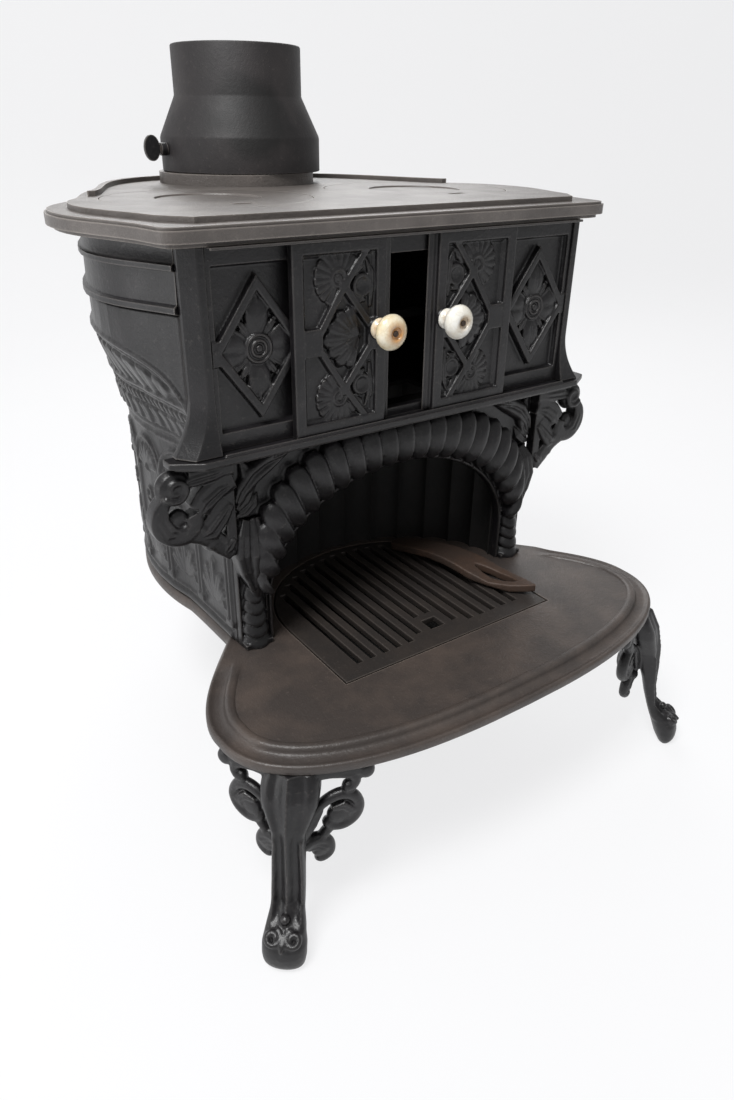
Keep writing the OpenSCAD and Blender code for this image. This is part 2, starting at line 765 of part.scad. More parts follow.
module top_plate() {
    field = inset(cut_outline, field_in);
    color(top_iron) placed() difference() {
        union() {
            slab(inset(plate_outline, 2), nose_z - 2, nose_z);
            difference() {
                union() {
                    slab(inset(plate_outline, 5), top_z, top_z + 3);
                    slab(plate_outline, top_z + 3, nose_z - 2);
                }
                slab(inset(plate_outline, 13), top_z - 1, under_z);
            }
            slab(inset(plate_outline, 12), under_z, nose_z);
            slab(field, nose_z - 1, field_z);
            difference() {
                slab(inset(field, 2), field_z - 1, field_z + curb_h);
                slab(inset(field, 7), field_z - 2, field_z + curb_h + 1);
                translate([-300, -50, field_z]) cube([600, 236, 20]);
                for (s = [-1, 1]) translate([s * 128, 238, field_z]) rotate([0, 0, s * 35])
                    cube([9, 40, 20], center = true);
            }
            translate([0, flue_y, nose_z]) cylinder(h = collar_z - nose_z, r = collar_r);
        }
        translate([0, flue_y, top_z - 1]) cylinder(h = collar_z - top_z + 2, r = flue_hole_r);
        for (s = [-1, 1]) translate([s * lid_x, lid_y, 0]) {
            translate([0, 0, field_z - lid_t]) cylinder(h = lid_t + 1, r = lid_r + slide_gap);
            translate([0, 0, top_z - 1]) cylinder(h = edge_h + 9, r = lid_r - seat_w);
        }
    }
}

// Round lid with a shallow dish and a blind slot for the lifter
module lid() {
    difference() {
        translate([0, 0, field_z - lid_t + slide_gap]) cylinder(h = lid_t - slide_gap, r = lid_r);
        translate([0, 0, field_z - 1.5]) cylinder(h = 3, r = lid_r * 0.5);
        translate([0, -lid_r * 0.72, field_z]) cube([18, 8, 6], center = true);
    }
}

module lid_left() {
    color(top_iron) placed() translate([-lid_x, lid_y, 0]) lid();
}

module lid_right() {
    color(top_iron) placed() translate([lid_x, lid_y, 0]) lid();
}

// ---- Flue ----

bonnet_wall = 4;

module flue_bonnet() {
    z0 = collar_z + slide_gap;
    w = bonnet_wall;
    color(iron) placed() translate([bonnet_x, flue_y, 0]) difference() {
        rotate_extrude() polygon([
            [skirt_r, z0], [skirt_r, skirt_z], [pipe_r, taper_z], [pipe_r, pipe_z],
            [pipe_r - w, pipe_z], [pipe_r - w, taper_z - 1.5], [skirt_r - w, skirt_z - 1.5],
            [skirt_r - w, z0]]);
        translate([0, 0, spindle_z]) rotate([0, 90, 0])
            cylinder(h = 3 * skirt_r, r = spindle_r + turn_gap, center = true);
    }
}

damper_gap = 8.5;       // all round the plate, so that some smoke always gets by
damper_r = pipe_r - bonnet_wall - damper_gap;
hub_r = spindle_r + 2.5;
key_x = -skirt_r - 1;

module damper_plate() {
    color(iron) placed() translate([bonnet_x, flue_y, spindle_z]) difference() {
        union() {
            rotate([90, 0, 0]) cylinder(h = 3, r = damper_r, center = true);
            rotate([0, 90, 0]) cylinder(h = 1.6 * damper_r, r = hub_r, center = true);
        }
        rotate([0, 90, 0]) cylinder(h = 3 * damper_r, r = spindle_r + turn_gap, center = true);
    }
}

module damper_spindle() {
    color(iron) placed() translate([bonnet_x, flue_y, spindle_z]) rotate([0, 90, 0])
        translate([0, 0, key_x - 6]) cylinder(h = 2 * skirt_r + 10, r = spindle_r);
}

// Flat oval thumb key on the spindle's left end
module damper_key() {
    color(iron) placed() translate([bonnet_x + key_x, flue_y, spindle_z]) {
        difference() {
            union() {
                rotate([0, -90, 0]) cylinder(h = 6, r = spindle_r + 2.5);
                upright(-1.5, 1.5) polygon([[-5, 4], [-9, 4], [-9, -4], [-5, -4]]);
                upright(-1.5, 1.5) polygon([for (q = oval(7.5, 11, 2, 0, 350, 35)) q + [-14, 1]]);
            }
            rotate([0, -90, 0]) translate([0, 0, -1]) cylinder(h = 7 + turn_gap, r = spindle_r + turn_gap);
        }
    }
}

// ---- Lid lifter, lying on the grate ----

lifter_l = 166;
lifter_t = 8;
lifter_rise = 9;
lifter_foot = 122;      // the bow's front foot, on the grate
lifter_nose = 5;        // how far the nose turns up
lifter_crown = 5;       // how far the long edges rise, as under a spoon
lifter_back = [56, 92];
lifter_turn = -71;

lifter_half = [[0, 0], [4, 8], [30, 12], [70, 15], [100, 18], [125, 17], [145, 11], [160, 4],
    [lifter_l, 0]];
lifter_plan = concat(lifter_half,
    [for (k = [len(lifter_half) - 2 : -1 : 1]) [lifter_half[k][0], -lifter_half[k][1]]]);

module lid_lifter() {
    slot = [for (q = oval(23, 7, 1.6, 0, 350, 35)) q + [122, 0]];
    bow = [for (i = [0 : 18]) let (x = lifter_foot * i / 18) [x, lifter_rise * sin(180 * x / lifter_foot)]];
    nose = lifter_l + 2 - lifter_foot;
    under = concat([[-2, 0]], bow,
        [for (i = [1 : 6]) [lifter_foot + nose * i / 6, lifter_nose * pow(i / 6, 2)]]);
    side_view = concat(under, [for (k = [len(under) - 1 : -1 : 0]) under[k] + [0, lifter_t]]);
    end_view = [[-20, lifter_crown], [-9, 0], [9, 0], [20, lifter_crown], [20, 30], [-20, 30]];
    color(rust) placed() translate([lifter_back[0], lifter_back[1], hearth_z + slide_gap])
        rotate([0, 0, lifter_turn]) difference() {
            intersection() {
                translate([0, 0, -1]) linear_extrude(lifter_rise + lifter_t + 2) polygon(lifter_plan);
                rotate([90, 0, 0]) translate([0, 0, -30]) linear_extrude(60) polygon(side_view);
                rotate([90, 0, 90]) translate([0, 0, -5]) linear_extrude(lifter_l + 10)
                    polygon(end_view);
            }
            translate([0, 0, -2]) linear_extrude(60) polygon(slot);
        }
}

hearth_plate();
grate();
ash_well();
front_leg_left();
front_leg_right();
rear_leg();
leg_bolts();
arch_front();
column_left();
column_right();
bracket_left();
bracket_right();
side_left();
side_right();
lower_back();
fireback();
smoke_shelf();
ledge();
corner_post_left();
corner_post_right();
front_panel_left();
front_panel_right();
lintel();
door_rail();
jacket_left();
jacket_right();
upper_back();
chamber_bar();
door_left();
door_right();
knob_left();
knob_right();
knob_screw_left();
knob_screw_right();
top_plate();
lid_left();
lid_right();
flue_bonnet();
damper_plate();
damper_spindle();
damper_key();
lid_lifter();
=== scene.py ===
# %% [markdown]
# # A cast iron parlour cook stove
# The real stove is about forty iron castings that stand together without glue: plates were cast in
# open sand, and the ornament was pressed into that sand with carved wooden patterns. So each piece here
# starts as a plain form and its ornament, which are then melted together the way molten iron fills both
# at once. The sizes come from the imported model, and everything below is measured in its frame.

# %% Load the frame
import json
from itertools import accumulate
from math import copysign, cos, exp, pi, radians, sin, sqrt

import bmesh
import bpy
from mathutils import Matrix, Vector


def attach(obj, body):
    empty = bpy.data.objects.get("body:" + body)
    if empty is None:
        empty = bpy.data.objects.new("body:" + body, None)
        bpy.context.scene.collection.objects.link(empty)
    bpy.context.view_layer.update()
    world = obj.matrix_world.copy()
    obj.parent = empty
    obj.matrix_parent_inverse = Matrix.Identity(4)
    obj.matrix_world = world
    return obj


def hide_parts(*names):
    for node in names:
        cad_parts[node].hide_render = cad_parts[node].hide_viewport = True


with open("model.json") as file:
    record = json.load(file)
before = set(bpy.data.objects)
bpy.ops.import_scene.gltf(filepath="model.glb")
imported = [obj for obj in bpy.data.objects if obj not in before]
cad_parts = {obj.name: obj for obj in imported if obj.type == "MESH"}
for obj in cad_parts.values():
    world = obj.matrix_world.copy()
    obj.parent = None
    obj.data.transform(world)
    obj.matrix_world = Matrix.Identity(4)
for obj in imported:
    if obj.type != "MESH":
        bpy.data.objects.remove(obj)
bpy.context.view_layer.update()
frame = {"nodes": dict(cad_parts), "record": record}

# %% [markdown]
# A founder measures in millimetres from the face of the front panels. One function turns such a place
# into metres in the model's frame, whose origin is on the floor under the middle of the stove.

# %% Places in millimetres
MM = 0.001
PANELS_Y = -102.27924           # the front panels' face in the model's frame


def at(x, y, z):
    return Vector((x, y + PANELS_Y, z)) * MM


def bezier(a, b, c, d, n):
    """n points along a cubic curve, without its last one."""
    a, b, c, d = (Vector(p) for p in (a, b, c, d))
    return [(1 - t) ** 3 * a + 3 * (1 - t) ** 2 * t * b + 3 * (1 - t) * t * t * c + t ** 3 * d
            for t in (i / n for i in range(n))]


# %% [markdown]
# The picture was taken from the left and from above, with a wide lens close to the stove, so its
# near leg looks large. The camera stands at the place that was measured from the picture's straight
# edges. Its lens follows from the focal length in pixels and the height of the picture, 1100 pixels.

# %% Camera
YAW, PITCH, ROLL = 0.61506, 0.48944, 0.01166
EYE = (-400.76, -509.23, 557.78)
FOCAL_PIXELS, PICTURE_PIXELS, SENSOR = 804.95, 1100, 36

ahead = Vector((sin(YAW) * cos(PITCH), cos(YAW) * cos(PITCH), -sin(PITCH)))
level = Vector((cos(YAW), -sin(YAW), 0))
over = level.cross(ahead)
right = cos(ROLL) * level + sin(ROLL) * over
up = cos(ROLL) * over - sin(ROLL) * level
lens = bpy.data.cameras.new("camera")
lens.sensor_width = SENSOR
lens.lens = FOCAL_PIXELS / PICTURE_PIXELS * SENSOR
camera = bpy.data.objects.new("camera", lens)
camera.matrix_world = Matrix((right, up, -ahead)).transposed().to_4x4()
camera.location = at(*EYE)
bpy.context.collection.objects.link(camera)
bpy.context.scene.camera = camera
print("lens, mm:", round(lens.lens, 2))

# %% [markdown]
# Soft studio light: an even white surrounding, and three large panels of light. The bright surroundings
# are what gives dark iron its shape, because a black surface shows mostly what it mirrors.

# %% Light
world = bpy.data.worlds.new("studio")
bpy.context.scene.world = world
world.use_nodes = True
world.node_tree.nodes["Background"].inputs["Color"].default_value = (1, 1, 1, 1)
world.node_tree.nodes["Background"].inputs["Strength"].default_value = 0.38


def softbox(name, place, aim, size, power):
    light = bpy.data.lights.new(name, "AREA")
    light.shape, light.size, light.energy = "SQUARE", size, power
    box = bpy.data.objects.new(name, light)
    box.location = place
    box.rotation_mode = "QUATERNION"
    box.rotation_quaternion = (Vector(aim) - Vector(place)).to_track_quat("-Z", "Y")
    bpy.context.collection.objects.link(box)


softbox("high_softbox", (-0.9, -0.5, 2.0), (0, 0, 0.3), 0.7, 40)
softbox("back_softbox", (0.7, 1.3, 1.6), (0, -0.1, 0.3), 1.2, 16)
softbox("side_softbox", (-1.9, 0.2, 0.35), (0, 0, 0.25), 0.9, 6)
bpy.context.scene.view_settings.view_transform = "Standard"

# %% [markdown]
# One function makes a node and links it. Three more make what every finish needs: noise of a given
# grain, a ramp that stretches a value, and a blend of two colours. A colour picker's hex value is
# turned into the linear numbers that the shader wants.

# %% Finish helpers


def linear(hex_value):
    parts = [int(hex_value[i:i + 2], 16) / 255 for i in (1, 3, 5)]
    return (*[p / 12.92 if p <= 0.04045 else ((p + 0.055) / 1.055) ** 2.4 for p in parts], 1)


def add(tree, kind, values=None, links=None, **settings):
    """A node of this kind, with its settings, its inputs' values and what is linked to them."""
    node = tree.nodes.new("ShaderNode" + kind)
    for key, value in settings.items():
        setattr(node, key, value)
    for key, value in (values or {}).items():
        node.inputs[key].default_value = value
    for key, socket in (links or {}).items():
        tree.links.new(socket, node.inputs[key])
    return node


def noise(tree, where, size, detail, roughness=0.5):
    """Noise whose largest grains are this many metres across."""
    return add(tree, "TexNoise", {"Scale": 1 / size, "Detail": detail, "Roughness": roughness},
               {"Vector": where}).outputs["Fac"]


def ramp(tree, value, start, end, low=0, high=1):
    """Goes from low to high while the value goes from start to end, and stays there."""
    return add(tree, "MapRange", {"From Min": start, "From Max": end, "To Min": low, "To Max": high},
               {"Value": value}).outputs[0]


def blend(tree, share, first, second):
    """The first colour with this share of the second. Each is a hex value or a node's colour."""
    values, links = {}, {"Factor": share}
    for key, colour in (("A", first), ("B", second)):
        if isinstance(colour, str):
            values[key] = linear(colour)
        else:
            links[key] = colour
    return add(tree, "Mix", values, links, data_type="RGBA").outputs["Result"]


def finish_named(name):
    """An empty material: its node tree, its main shader and the place on the surface."""
    made = bpy.data.materials.new(name)
    made.use_nodes = True
    tree = made.node_tree
    return made, tree, tree.nodes["Principled BSDF"], add(tree, "TexCoord").outputs["Object"]


def seen_by_camera(tree):
    """1 where the camera looks, directly or in a mirror or through glass, and 0 for all other light."""
    ray = add(tree, "LightPath").outputs
    seen = ray["Is Camera Ray"]
    for kind in ("Is Glossy Ray", "Is Transmission Ray"):
        seen = add(tree, "Math", links={0: seen, 1: ray[kind]}, operation="MAXIMUM").outputs[0]
    return seen


# %% [markdown]
# Blacked cast iron. Sand casting leaves an orange peel of grains about a millimetre across, a cook
# rubs graphite blacking over it, and years of handling rub it off the high places and let dust and
# rust settle on it. So the colour goes from a cool black to a warm grey, with flecks. Ambient
# occlusion from inside the metal lightens the edges, partly where rubbing has bared them and partly
# as a painted highlight; from outside it darkens the hollows as painted shade. Two sizes of grain
# move the surface, and the bonnet has a painted dark patch.

# %% Blacked cast iron
# How far ambient occlusion looks for the lighter edges (rubbed and painted highlight) and for the painted
# shade in hollows, in metres
EDGE_WEAR_AND_HIGHLIGHT_REACH, HOLLOW_SHADE_REACH = 0.0012, 0.007


def cast_iron(name, dark, worn, dust, roughness, edge_wear_and_highlight=0.5, grain=0.35, dark_patch=None):
    made, tree, shader, where = finish_named(name)
    clouds = noise(tree, where, 0.045, 5, 0.6)
    speck = noise(tree, where, 0.004, 3, 0.7)
    sand = noise(tree, where, 0.0012, 2)
    # Ambient occlusion inside the metal finds the edges, which get a lighter colour: partly rubbed blacking,
    # partly a painted highlight
    edge = add(tree, "AmbientOcclusion", {"Distance": EDGE_WEAR_AND_HIGHLIGHT_REACH}, inside=True, only_local=True, samples=5)
    # Ambient occlusion outside the metal finds the hollows, which get painted shade
    hollow = add(tree, "AmbientOcclusion", {"Distance": HOLLOW_SHADE_REACH}, only_local=True, samples=5)
    colour = blend(tree, ramp(tree, clouds, 0.42, 0.68, 0, 0.75), dark, dust)
    colour = blend(tree, ramp(tree, speck, 0.6, 0.8, 0, 0.25), colour, worn)
    # Painted shade: the hollows go darker
    colour = blend(tree, ramp(tree, hollow.outputs["AO"], 0.88, 0.4, 0, 0.95), colour, dark)
    # A painted dark patch with a ragged edge round one place on the bonnet
    if dark_patch:
        centre, radius = dark_patch
        far = add(tree, "VectorMath", {1: centre}, {0: where}, operation="DISTANCE").outputs["Value"]
        ragged = add(tree, "Math", {1: 0.04}, {0: clouds, 2: far}, operation="MULTIPLY_ADD").outputs[0]
        colour = blend(tree, ramp(tree, ragged, radius + 0.03, radius + 0.015, 0, 0.85), colour, "#0c0b0b")
    # Painted highlight mixed with rubbed blacking: the edges take the lighter colour
    colour = blend(tree, ramp(tree, edge.outputs["AO"], 0.92, 0.5, 0, edge_wear_and_highlight), colour, worn)
    tree.links.new(colour, shader.inputs["Base Color"])
    tree.links.new(ramp(tree, clouds, 0, 1, roughness + 0.1, roughness - 0.1), shader.inputs["Roughness"])
    coarse = add(tree, "Bump", {"Strength": grain, "Distance": 0.0009}, {"Height": speck})
    fine = add(tree, "Bump", {"Strength": grain, "Distance": 0.0003},
               {"Height": sand, "Normal": coarse.outputs[0]})
    tree.links.new(fine.outputs[0], shader.inputs["Normal"])
    return made


black_iron = cast_iron("blacked_cast_iron", "#111012", "#736e6a", "#201e20", 0.38, edge_wear_and_highlight=0.75)
# The bonnet's iron carries a painted dark patch on its taper
bonnet_iron = cast_iron("dark_patched_cast_iron", "#1e1b1c", "#6a6460", "#2e2a2a", 0.6, grain=0.25,
                        dark_patch=((-0.014, 0.12, 0.558), 0.034))
sooty_iron = cast_iron("sooty_cast_iron", "#100f0f", "#3a3734", "#181615", 0.7, edge_wear_and_highlight=0.3)
# The hearth plate is a lighter grey, partly from dust and partly as painted light on a surface that faces up
hearth_iron = cast_iron("dusty_and_lit_cast_iron", "#3d3734", "#82776f", "#534943", 0.42, edge_wear_and_highlight=0.6, grain=0.5)
grate_iron = cast_iron("burnt_cast_iron", "#2a2624", "#6e655e", "#37312d", 0.5, edge_wear_and_highlight=0.6)
# The top plate and lids are a lighter grey, partly scoured and dusty iron, partly painted light on surfaces
# that face up
top_iron = cast_iron("scoured_and_lit_cast_iron", "#544f4c", "#9c948d", "#6b6561", 0.4, edge_wear_and_highlight=0.6, grain=0.6)
lifter_iron = cast_iron("rusty_cast_iron", "#3a2e27", "#7d604c", "#4d382b", 0.6, edge_wear_and_highlight=0.6, grain=0.6)
screw_steel = cast_iron("rusted_steel", "#2c2018", "#6d5a48", "#4a3222", 0.6, edge_wear_and_highlight=0.5)

# %% [markdown]
# The knobs are glazed porcelain: a white body under a clear hard glaze, yellowed by hand grease, with
# a few grey crazes, and with rust that has bled from the screw. The clear coat gives the sharp
# window-like highlight that plain paint lacks.

# %% Glazed porcelain
KNOB_X, KNOB_Z = {"left": -39.3, "right": 26.3}, 419.5


def porcelain(name, pale, stained, screw_x, rust, spread):
    made, tree, shader, where = finish_named(name)
    stain = noise(tree, where, 0.016, 4, 0.65)
    colour = blend(tree, ramp(tree, stain, 0.4, 0.72), pale, stained)
    craze = add(tree, "TexVoronoi", {"Scale": 1 / 0.006}, {"Vector": where}, feature="DISTANCE_TO_EDGE")
    colour = blend(tree, ramp(tree, craze.outputs["Distance"], 0, 0.03, 0.25, 0), colour, "#a08a5c")
    flat = add(tree, "VectorMath", {1: (1, 0, 1)}, {0: where}, operation="MULTIPLY").outputs[0]
    far = add(tree, "VectorMath", {1: (screw_x * MM, 0, KNOB_Z * MM)}, {0: flat}, operation="DISTANCE")
    ragged = add(tree, "Math", {1: -0.008}, {0: stain, 2: far.outputs["Value"]}, operation="MULTIPLY_ADD")
    colour = blend(tree, ramp(tree, ragged.outputs[0], spread, -0.001, 0, 0.9), colour, rust)
    tree.links.new(colour, shader.inputs["Base Color"])
    for socket, value in (("Roughness", 0.3), ("Coat Weight", 0.8), ("Coat Roughness", 0.06)):
        shader.inputs[socket].default_value = value
    return made


cream_porcelain = porcelain("yellowed_porcelain", "#ebe2cc", "#d3bb88", KNOB_X["left"], "#b87a35", 0.006)
white_porcelain = porcelain("white_porcelain", "#eeece5", "#ddd4c0", KNOB_X["right"], "#a98a62", 0.0035)

# %% [markdown]
# The floor is a sheet of white card that curves up behind the stove, as in a photographer's cove.
# The camera sees part of its white as a glow, so that it stays pale without more light on the stove.
# The rest is a plain diffuse surface, which keeps the soft shadow.

# %% Floor
CARD_HALF, CARD_FRONT, CARD_RUN, COVE, WALL = 12, -3, 4.6, 1.2, 2.5
sheet = bmesh.new()
run = [sheet.edges.new([sheet.verts.new((x, CARD_FRONT, 0)) for x in (-CARD_HALF, CARD_HALF)])]
turns = [k * pi / 16 for k in range(9)]
steps = [(0, COVE * (sin(b) - sin(a)), COVE * (cos(a) - cos(b)))
         for a, b in zip(turns, turns[1:])]
for step in [(0, CARD_RUN, 0), *steps, (0, 0, WALL)]:
    made = bmesh.ops.extrude_edge_only(sheet, edges=run)["geom"]
    ends = [g for g in made if isinstance(g, bmesh.types.BMVert)]
    run = [g for g in made if isinstance(g, bmesh.types.BMEdge) and all(v in ends for v in g.verts)]
    bmesh.ops.translate(sheet, vec=step, verts=ends)
bmesh.ops.recalc_face_normals(sheet, faces=sheet.faces)
card = bpy.data.meshes.new("floor")
sheet.to_mesh(card)
sheet.free()
for face in card.polygons:
    face.use_smooth = True
floor = bpy.data.objects.new("floor", card)
bpy.context.collection.objects.link(floor)
white_card, tree, shader, where = finish_named("white_card")
shader.inputs["Roughness"].default_value = 0.9
paper = blend(tree, noise(tree, where, 0.3, 2), "#f0f1f3", "#f4f4f5")
tree.links.new(paper, shader.inputs["Base Color"])
share = add(tree, "Math", {1: 0.8}, {0: seen_by_camera(tree)}, operation="MULTIPLY")
glow = add(tree, "Emission", {"Color": linear("#fbfbfc"), "Strength": 1.0})
lit = add(tree, "MixShader", links={0: share.outputs[0], 1: shader.outputs[0], 2: glow.outputs[0]})
tree.links.new(lit.outputs[0], tree.nodes["Material Output"].inputs["Surface"])
card.materials.append(white_card)

# %% [markdown]
# Plain castings keep the model's own form. Their corners are eased, because sand never gives a
# knife edge and rubbing wears it down further: a bevel follows every sharp edge, and the shading
# normals are then weighted by area, so that flat faces stay flat.

# %% Plain castings
NODE_BODY = {n: body for body, members in frame["record"]["behaviour"]["bodies"].items() for n in members}
BEVEL_ANGLE = 30                # degrees; a sharper edge than this is eased


def copy_of(node):
    """The node's mesh as one merged solid, with its flat faces whole again."""
    solid = bmesh.new()
    solid.from_mesh(frame["nodes"][node].data)
    bmesh.ops.remove_doubles(solid, verts=solid.verts, dist=2e-6)
    bmesh.ops.dissolve_limit(solid, angle_limit=radians(1.0), verts=solid.verts, edges=solid.edges)
    return solid


def join(whole, *parts):
    """Adds the parts' meshes to the whole, and lets go of the parts."""
    for part in parts:
        mesh = bpy.data.meshes.new("part")
        part.to_mesh(mesh)
        part.free()
        whole.from_mesh(mesh)
        bpy.data.meshes.remove(mesh)
    return whole


def show(node, solid, material, name=None):
    """The finished solid as the piece of the stove that stands for this node."""
    name = name or node + "_casting"
    mesh = bpy.data.meshes.new(name)
    solid.to_mesh(mesh)
    solid.free()
    mesh.materials.append(material)
    piece = bpy.data.objects.new(name, mesh)
    bpy.context.collection.objects.link(piece)
    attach(piece, NODE_BODY[node])
    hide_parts(node)
    return piece


def smooth(piece, angle=None):
    """Shades the piece as round, and keeps edges sharper than the angle if there is one."""
    for face in piece.data.polygons:
        face.use_smooth = True
    if angle:
        piece.data.set_sharp_from_angle(angle=radians(angle))


def eased(node, material, width, slot="black_iron", solid=None):
    """The node's own form, or a solid that stands for it, with worn corners."""
    piece = show(node, solid or copy_of(node), material)
    smooth(piece)
    bevel = piece.modifiers.new("worn corners", "BEVEL")
    bevel.width, bevel.segments, bevel.profile = width * MM, 2, 0.5
    bevel.limit_method, bevel.angle_limit = "ANGLE", radians(BEVEL_ANGLE)
    bevel.use_clamp_overlap = True
    even = piece.modifiers.new("flat faces", "WEIGHTED_NORMAL")
    even.keep_sharp = False
    even.weight = 80


plain = {
    "grate": (grate_iron, 0.8, "hearth_iron"), "ash_well": (sooty_iron, 0.6), "ledge": (black_iron, 1.0),
    "lintel": (black_iron, 0.5), "door_rail": (black_iron, 0.3), "chamber_bar": (sooty_iron, 0.6),
    "smoke_shelf": (sooty_iron, 0.6), "leg_bolts": (screw_steel, 0.4, "rusty_steel"),
    "top_plate": (top_iron, 1.8, "top_iron"), "lid_left": (top_iron, 0.8, "top_iron"),
    "lid_right": (top_iron, 0.8, "top_iron"), "damper_plate": (sooty_iron, 0.5),
    "damper_spindle": (screw_steel, 0.3), "damper_key": (black_iron, 0.7),
}
for node, finish in plain.items():
    eased(node, *finish)
print("plain castings:", len(plain))

# %% [markdown]
# Ornament starts as a carved wooden pattern. A pattern here is a closed skin, drawn flat in
# millimetres: u runs across, v up and w out of the board. A loft draws one ring of points, extrudes
# it from place to place and closes both ends, which is how leaves, petals, bars and scrolls are made.

# %% Pattern makers


def loft(rings, ends=True):
    """A skin through rings of equal count: the first is drawn, and each next one is extruded from it."""
    skin = bmesh.new()
    ring = [skin.verts.new(p) for p in rings[0]]
    for a, b in zip(ring, ring[1:] + ring[:1]):
        skin.edges.new((a, b))
    first = ring
    for places in rings[1:]:
        edges = [skin.edges.get(pair) for pair in zip(ring, ring[1:] + ring[:1])]
        made = {g for g in bmesh.ops.extrude_edge_only(skin, edges=edges)["geom"]
                if isinstance(g, bmesh.types.BMVert)}
        ring = [next(e.other_vert(v) for e in v.link_edges if e.other_vert(v) in made) for v in ring]
        for v, place in zip(ring, places):
            v.co = place
    if ends:
        bmesh.ops.contextual_create(skin, geom=first)
        bmesh.ops.contextual_create(skin, geom=ring)
    else:
        bmesh.ops.remove_doubles(skin, verts=skin.verts, dist=1e-4)
    bmesh.ops.recalc_face_normals(skin, faces=skin.faces)
    return skin


def sweep(path, section, closed=False, size=lambda t: (1, 1), foot=None):
    """Carries a section of (across, out) points along a path. A foot sets the level of its lowest points."""
    path = [Vector((*p, 0)) if len(p) == 2 else Vector(p) for p in path]
    rings, n = [], len(path)
    for k, p in enumerate(path):
        back = path[k - 1] if closed or k else p
        fore = path[(k + 1) % n] if closed or k < n - 1 else p
        a = (p - back).normalized() if p != back else (fore - p).normalized()
        b = (fore - p).normalized() if p != fore else a
        along = (a + b).normalized()
        across = Vector((0, 0, 1)).cross(along).normalized()
        out = along.cross(across)
        mitre = 1 / max(0.35, along.dot(b))
        wide, high = size(k / (n - 1))
        ring = [p + across * (s * wide * mitre) + out * (h * high) for s, h in section]
        if foot is not None:
            for place, (s, h) in zip(ring, section):
                if h <= 0:
                    place.z = foot
        rings.append(ring)
    return loft(rings + rings[:1], ends=False) if closed else loft(rings)


def between(pairs, t):
    """Reads a value from a short table of (place, value) pairs."""
    for (t0, v0), (t1, v1) in zip(pairs, pairs[1:]):
        if t <= t1:
            return v0 + (v1 - v0) * (t - t0) / (t1 - t0)
    return pairs[-1][1]


def polar(r, a, u=0, v=0):
    """The point at this radius and angle from (u, v)."""
    return u + cos(a) * r, v + sin(a) * r


PETAL = [(0, 0.4), (0.25, 0.75), (0.55, 1), (0.8, 0.85), (0.95, 0.45), (1, 0.15)]


def leaf(path, width, height, groove=0.3, foot=-1.5, shape=PETAL):
    """A petal or a leaf lobe: rounded across, with a sunk vein along its middle."""
    arc = [pi * k / 10 for k in range(11)]
    section = [(cos(a), max(0.02, sin(a)) ** 0.7
                * (1 - groove * exp(-(cos(a) / 0.25) ** 2))) for a in arc] + [(-0.95, 0), (0.95, 0)]
    return sweep(path, section, foot=foot, size=lambda t: (width * between(shape, t),
                                                           height * (0.35 + 0.65 * between(shape, t))))


def distances(points):
    """How far along the line each of its points lies."""
    return [0, *accumulate((b - a).length for a, b in zip(points, points[1:]))]


def flowing(path, gap):
    """Points at an even gap along a smooth curve through a few given ones."""
    given = [Vector((*p, 0)) if len(p) == 2 else Vector(p) for p in path]
    knots = [2 * given[0] - given[1]] + given + [2 * given[-1] - given[-2]]
    fine = [0.5 * (2 * b + (c - a) * s + (2 * a - 5 * b + 4 * c - d) * s * s
                   + (3 * b - a - 3 * c + d) * s ** 3)
            for a, b, c, d in zip(knots, knots[1:], knots[2:], knots[3:]) for s in (0, 0.2, 0.4, 0.6, 0.8)]
    fine.append(given[-1])
    gone = distances(fine)
    count, j, even = max(4, round(gone[-1] / gap)), 0, []
    for k in range(count + 1):
        s = gone[-1] * k / count
        while j < len(fine) - 2 and gone[j + 1] < s:
            j += 1
        even.append(fine[j].lerp(fine[j + 1], (s - gone[j]) / max(1e-6, gone[j + 1] - gone[j])))
    return even


def rod(path, radius, shape=((0, 1), (1, 1)), sides=12):
    """A round-ended stem or scroll that gets thicker or thinner along its way."""
    circle = [polar(1, 2 * pi * k / sides) for k in range(sides)]
    way = flowing(path, radius * 0.4)
    total = (len(way) - 1) * 0.4

    def girth(t):
        tip = min(1, min(t, 1 - t) * total)
        r = radius * between(shape, t) * sqrt(max(0.01, 1 - (1 - tip) ** 2))
        return r, r
    return sweep(way, circle, size=girth)


def ribbon(path, thick, half, shape=((0, 1), (1, 1))):
    """A flat band on edge: thin in the drawing's plane, and as deep as the casting across it."""
    section = [(-1, -0.8), (-0.6, -1), (0.6, -1), (1, -0.8), (1, 0.8), (0.6, 1), (-0.6, 1), (-1, 0.8)]
    return sweep(flowing(path, 2), [(s, h * half) for s, h in section],
                 size=lambda t: (thick * between(shape, t), 1))


def button(u, v, radius, half):
    """A knob end that shows on both faces of a flat casting."""
    return turned([(0, half), (radius * 0.5, half * 0.93), (radius * 0.85, half * 0.6), (radius, 0),
                   (radius * 0.85, -half * 0.6), (radius * 0.5, -half * 0.93), (0, -half)], u, v)


def turned(profile, u=0, v=0, steps=28, turn=2 * pi):
    """A button or boss on the lathe: its profile of (radius, out) points is spun about the out axis."""
    made = bmesh.new()
    points = [made.verts.new((r, 0, w)) for r, w in profile]
    line = [made.edges.new(pair) for pair in zip(points, points[1:])]
    bmesh.ops.spin(made, geom=points + line, cent=(0, 0, 0), axis=(0, 0, 1), angle=turn, steps=steps,
                   use_merge=True)
    bmesh.ops.remove_doubles(made, verts=made.verts, dist=1e-4)
    bmesh.ops.translate(made, verts=made.verts, vec=(u, v, 0))
    bmesh.ops.recalc_face_normals(made, faces=made.faces)
    return made


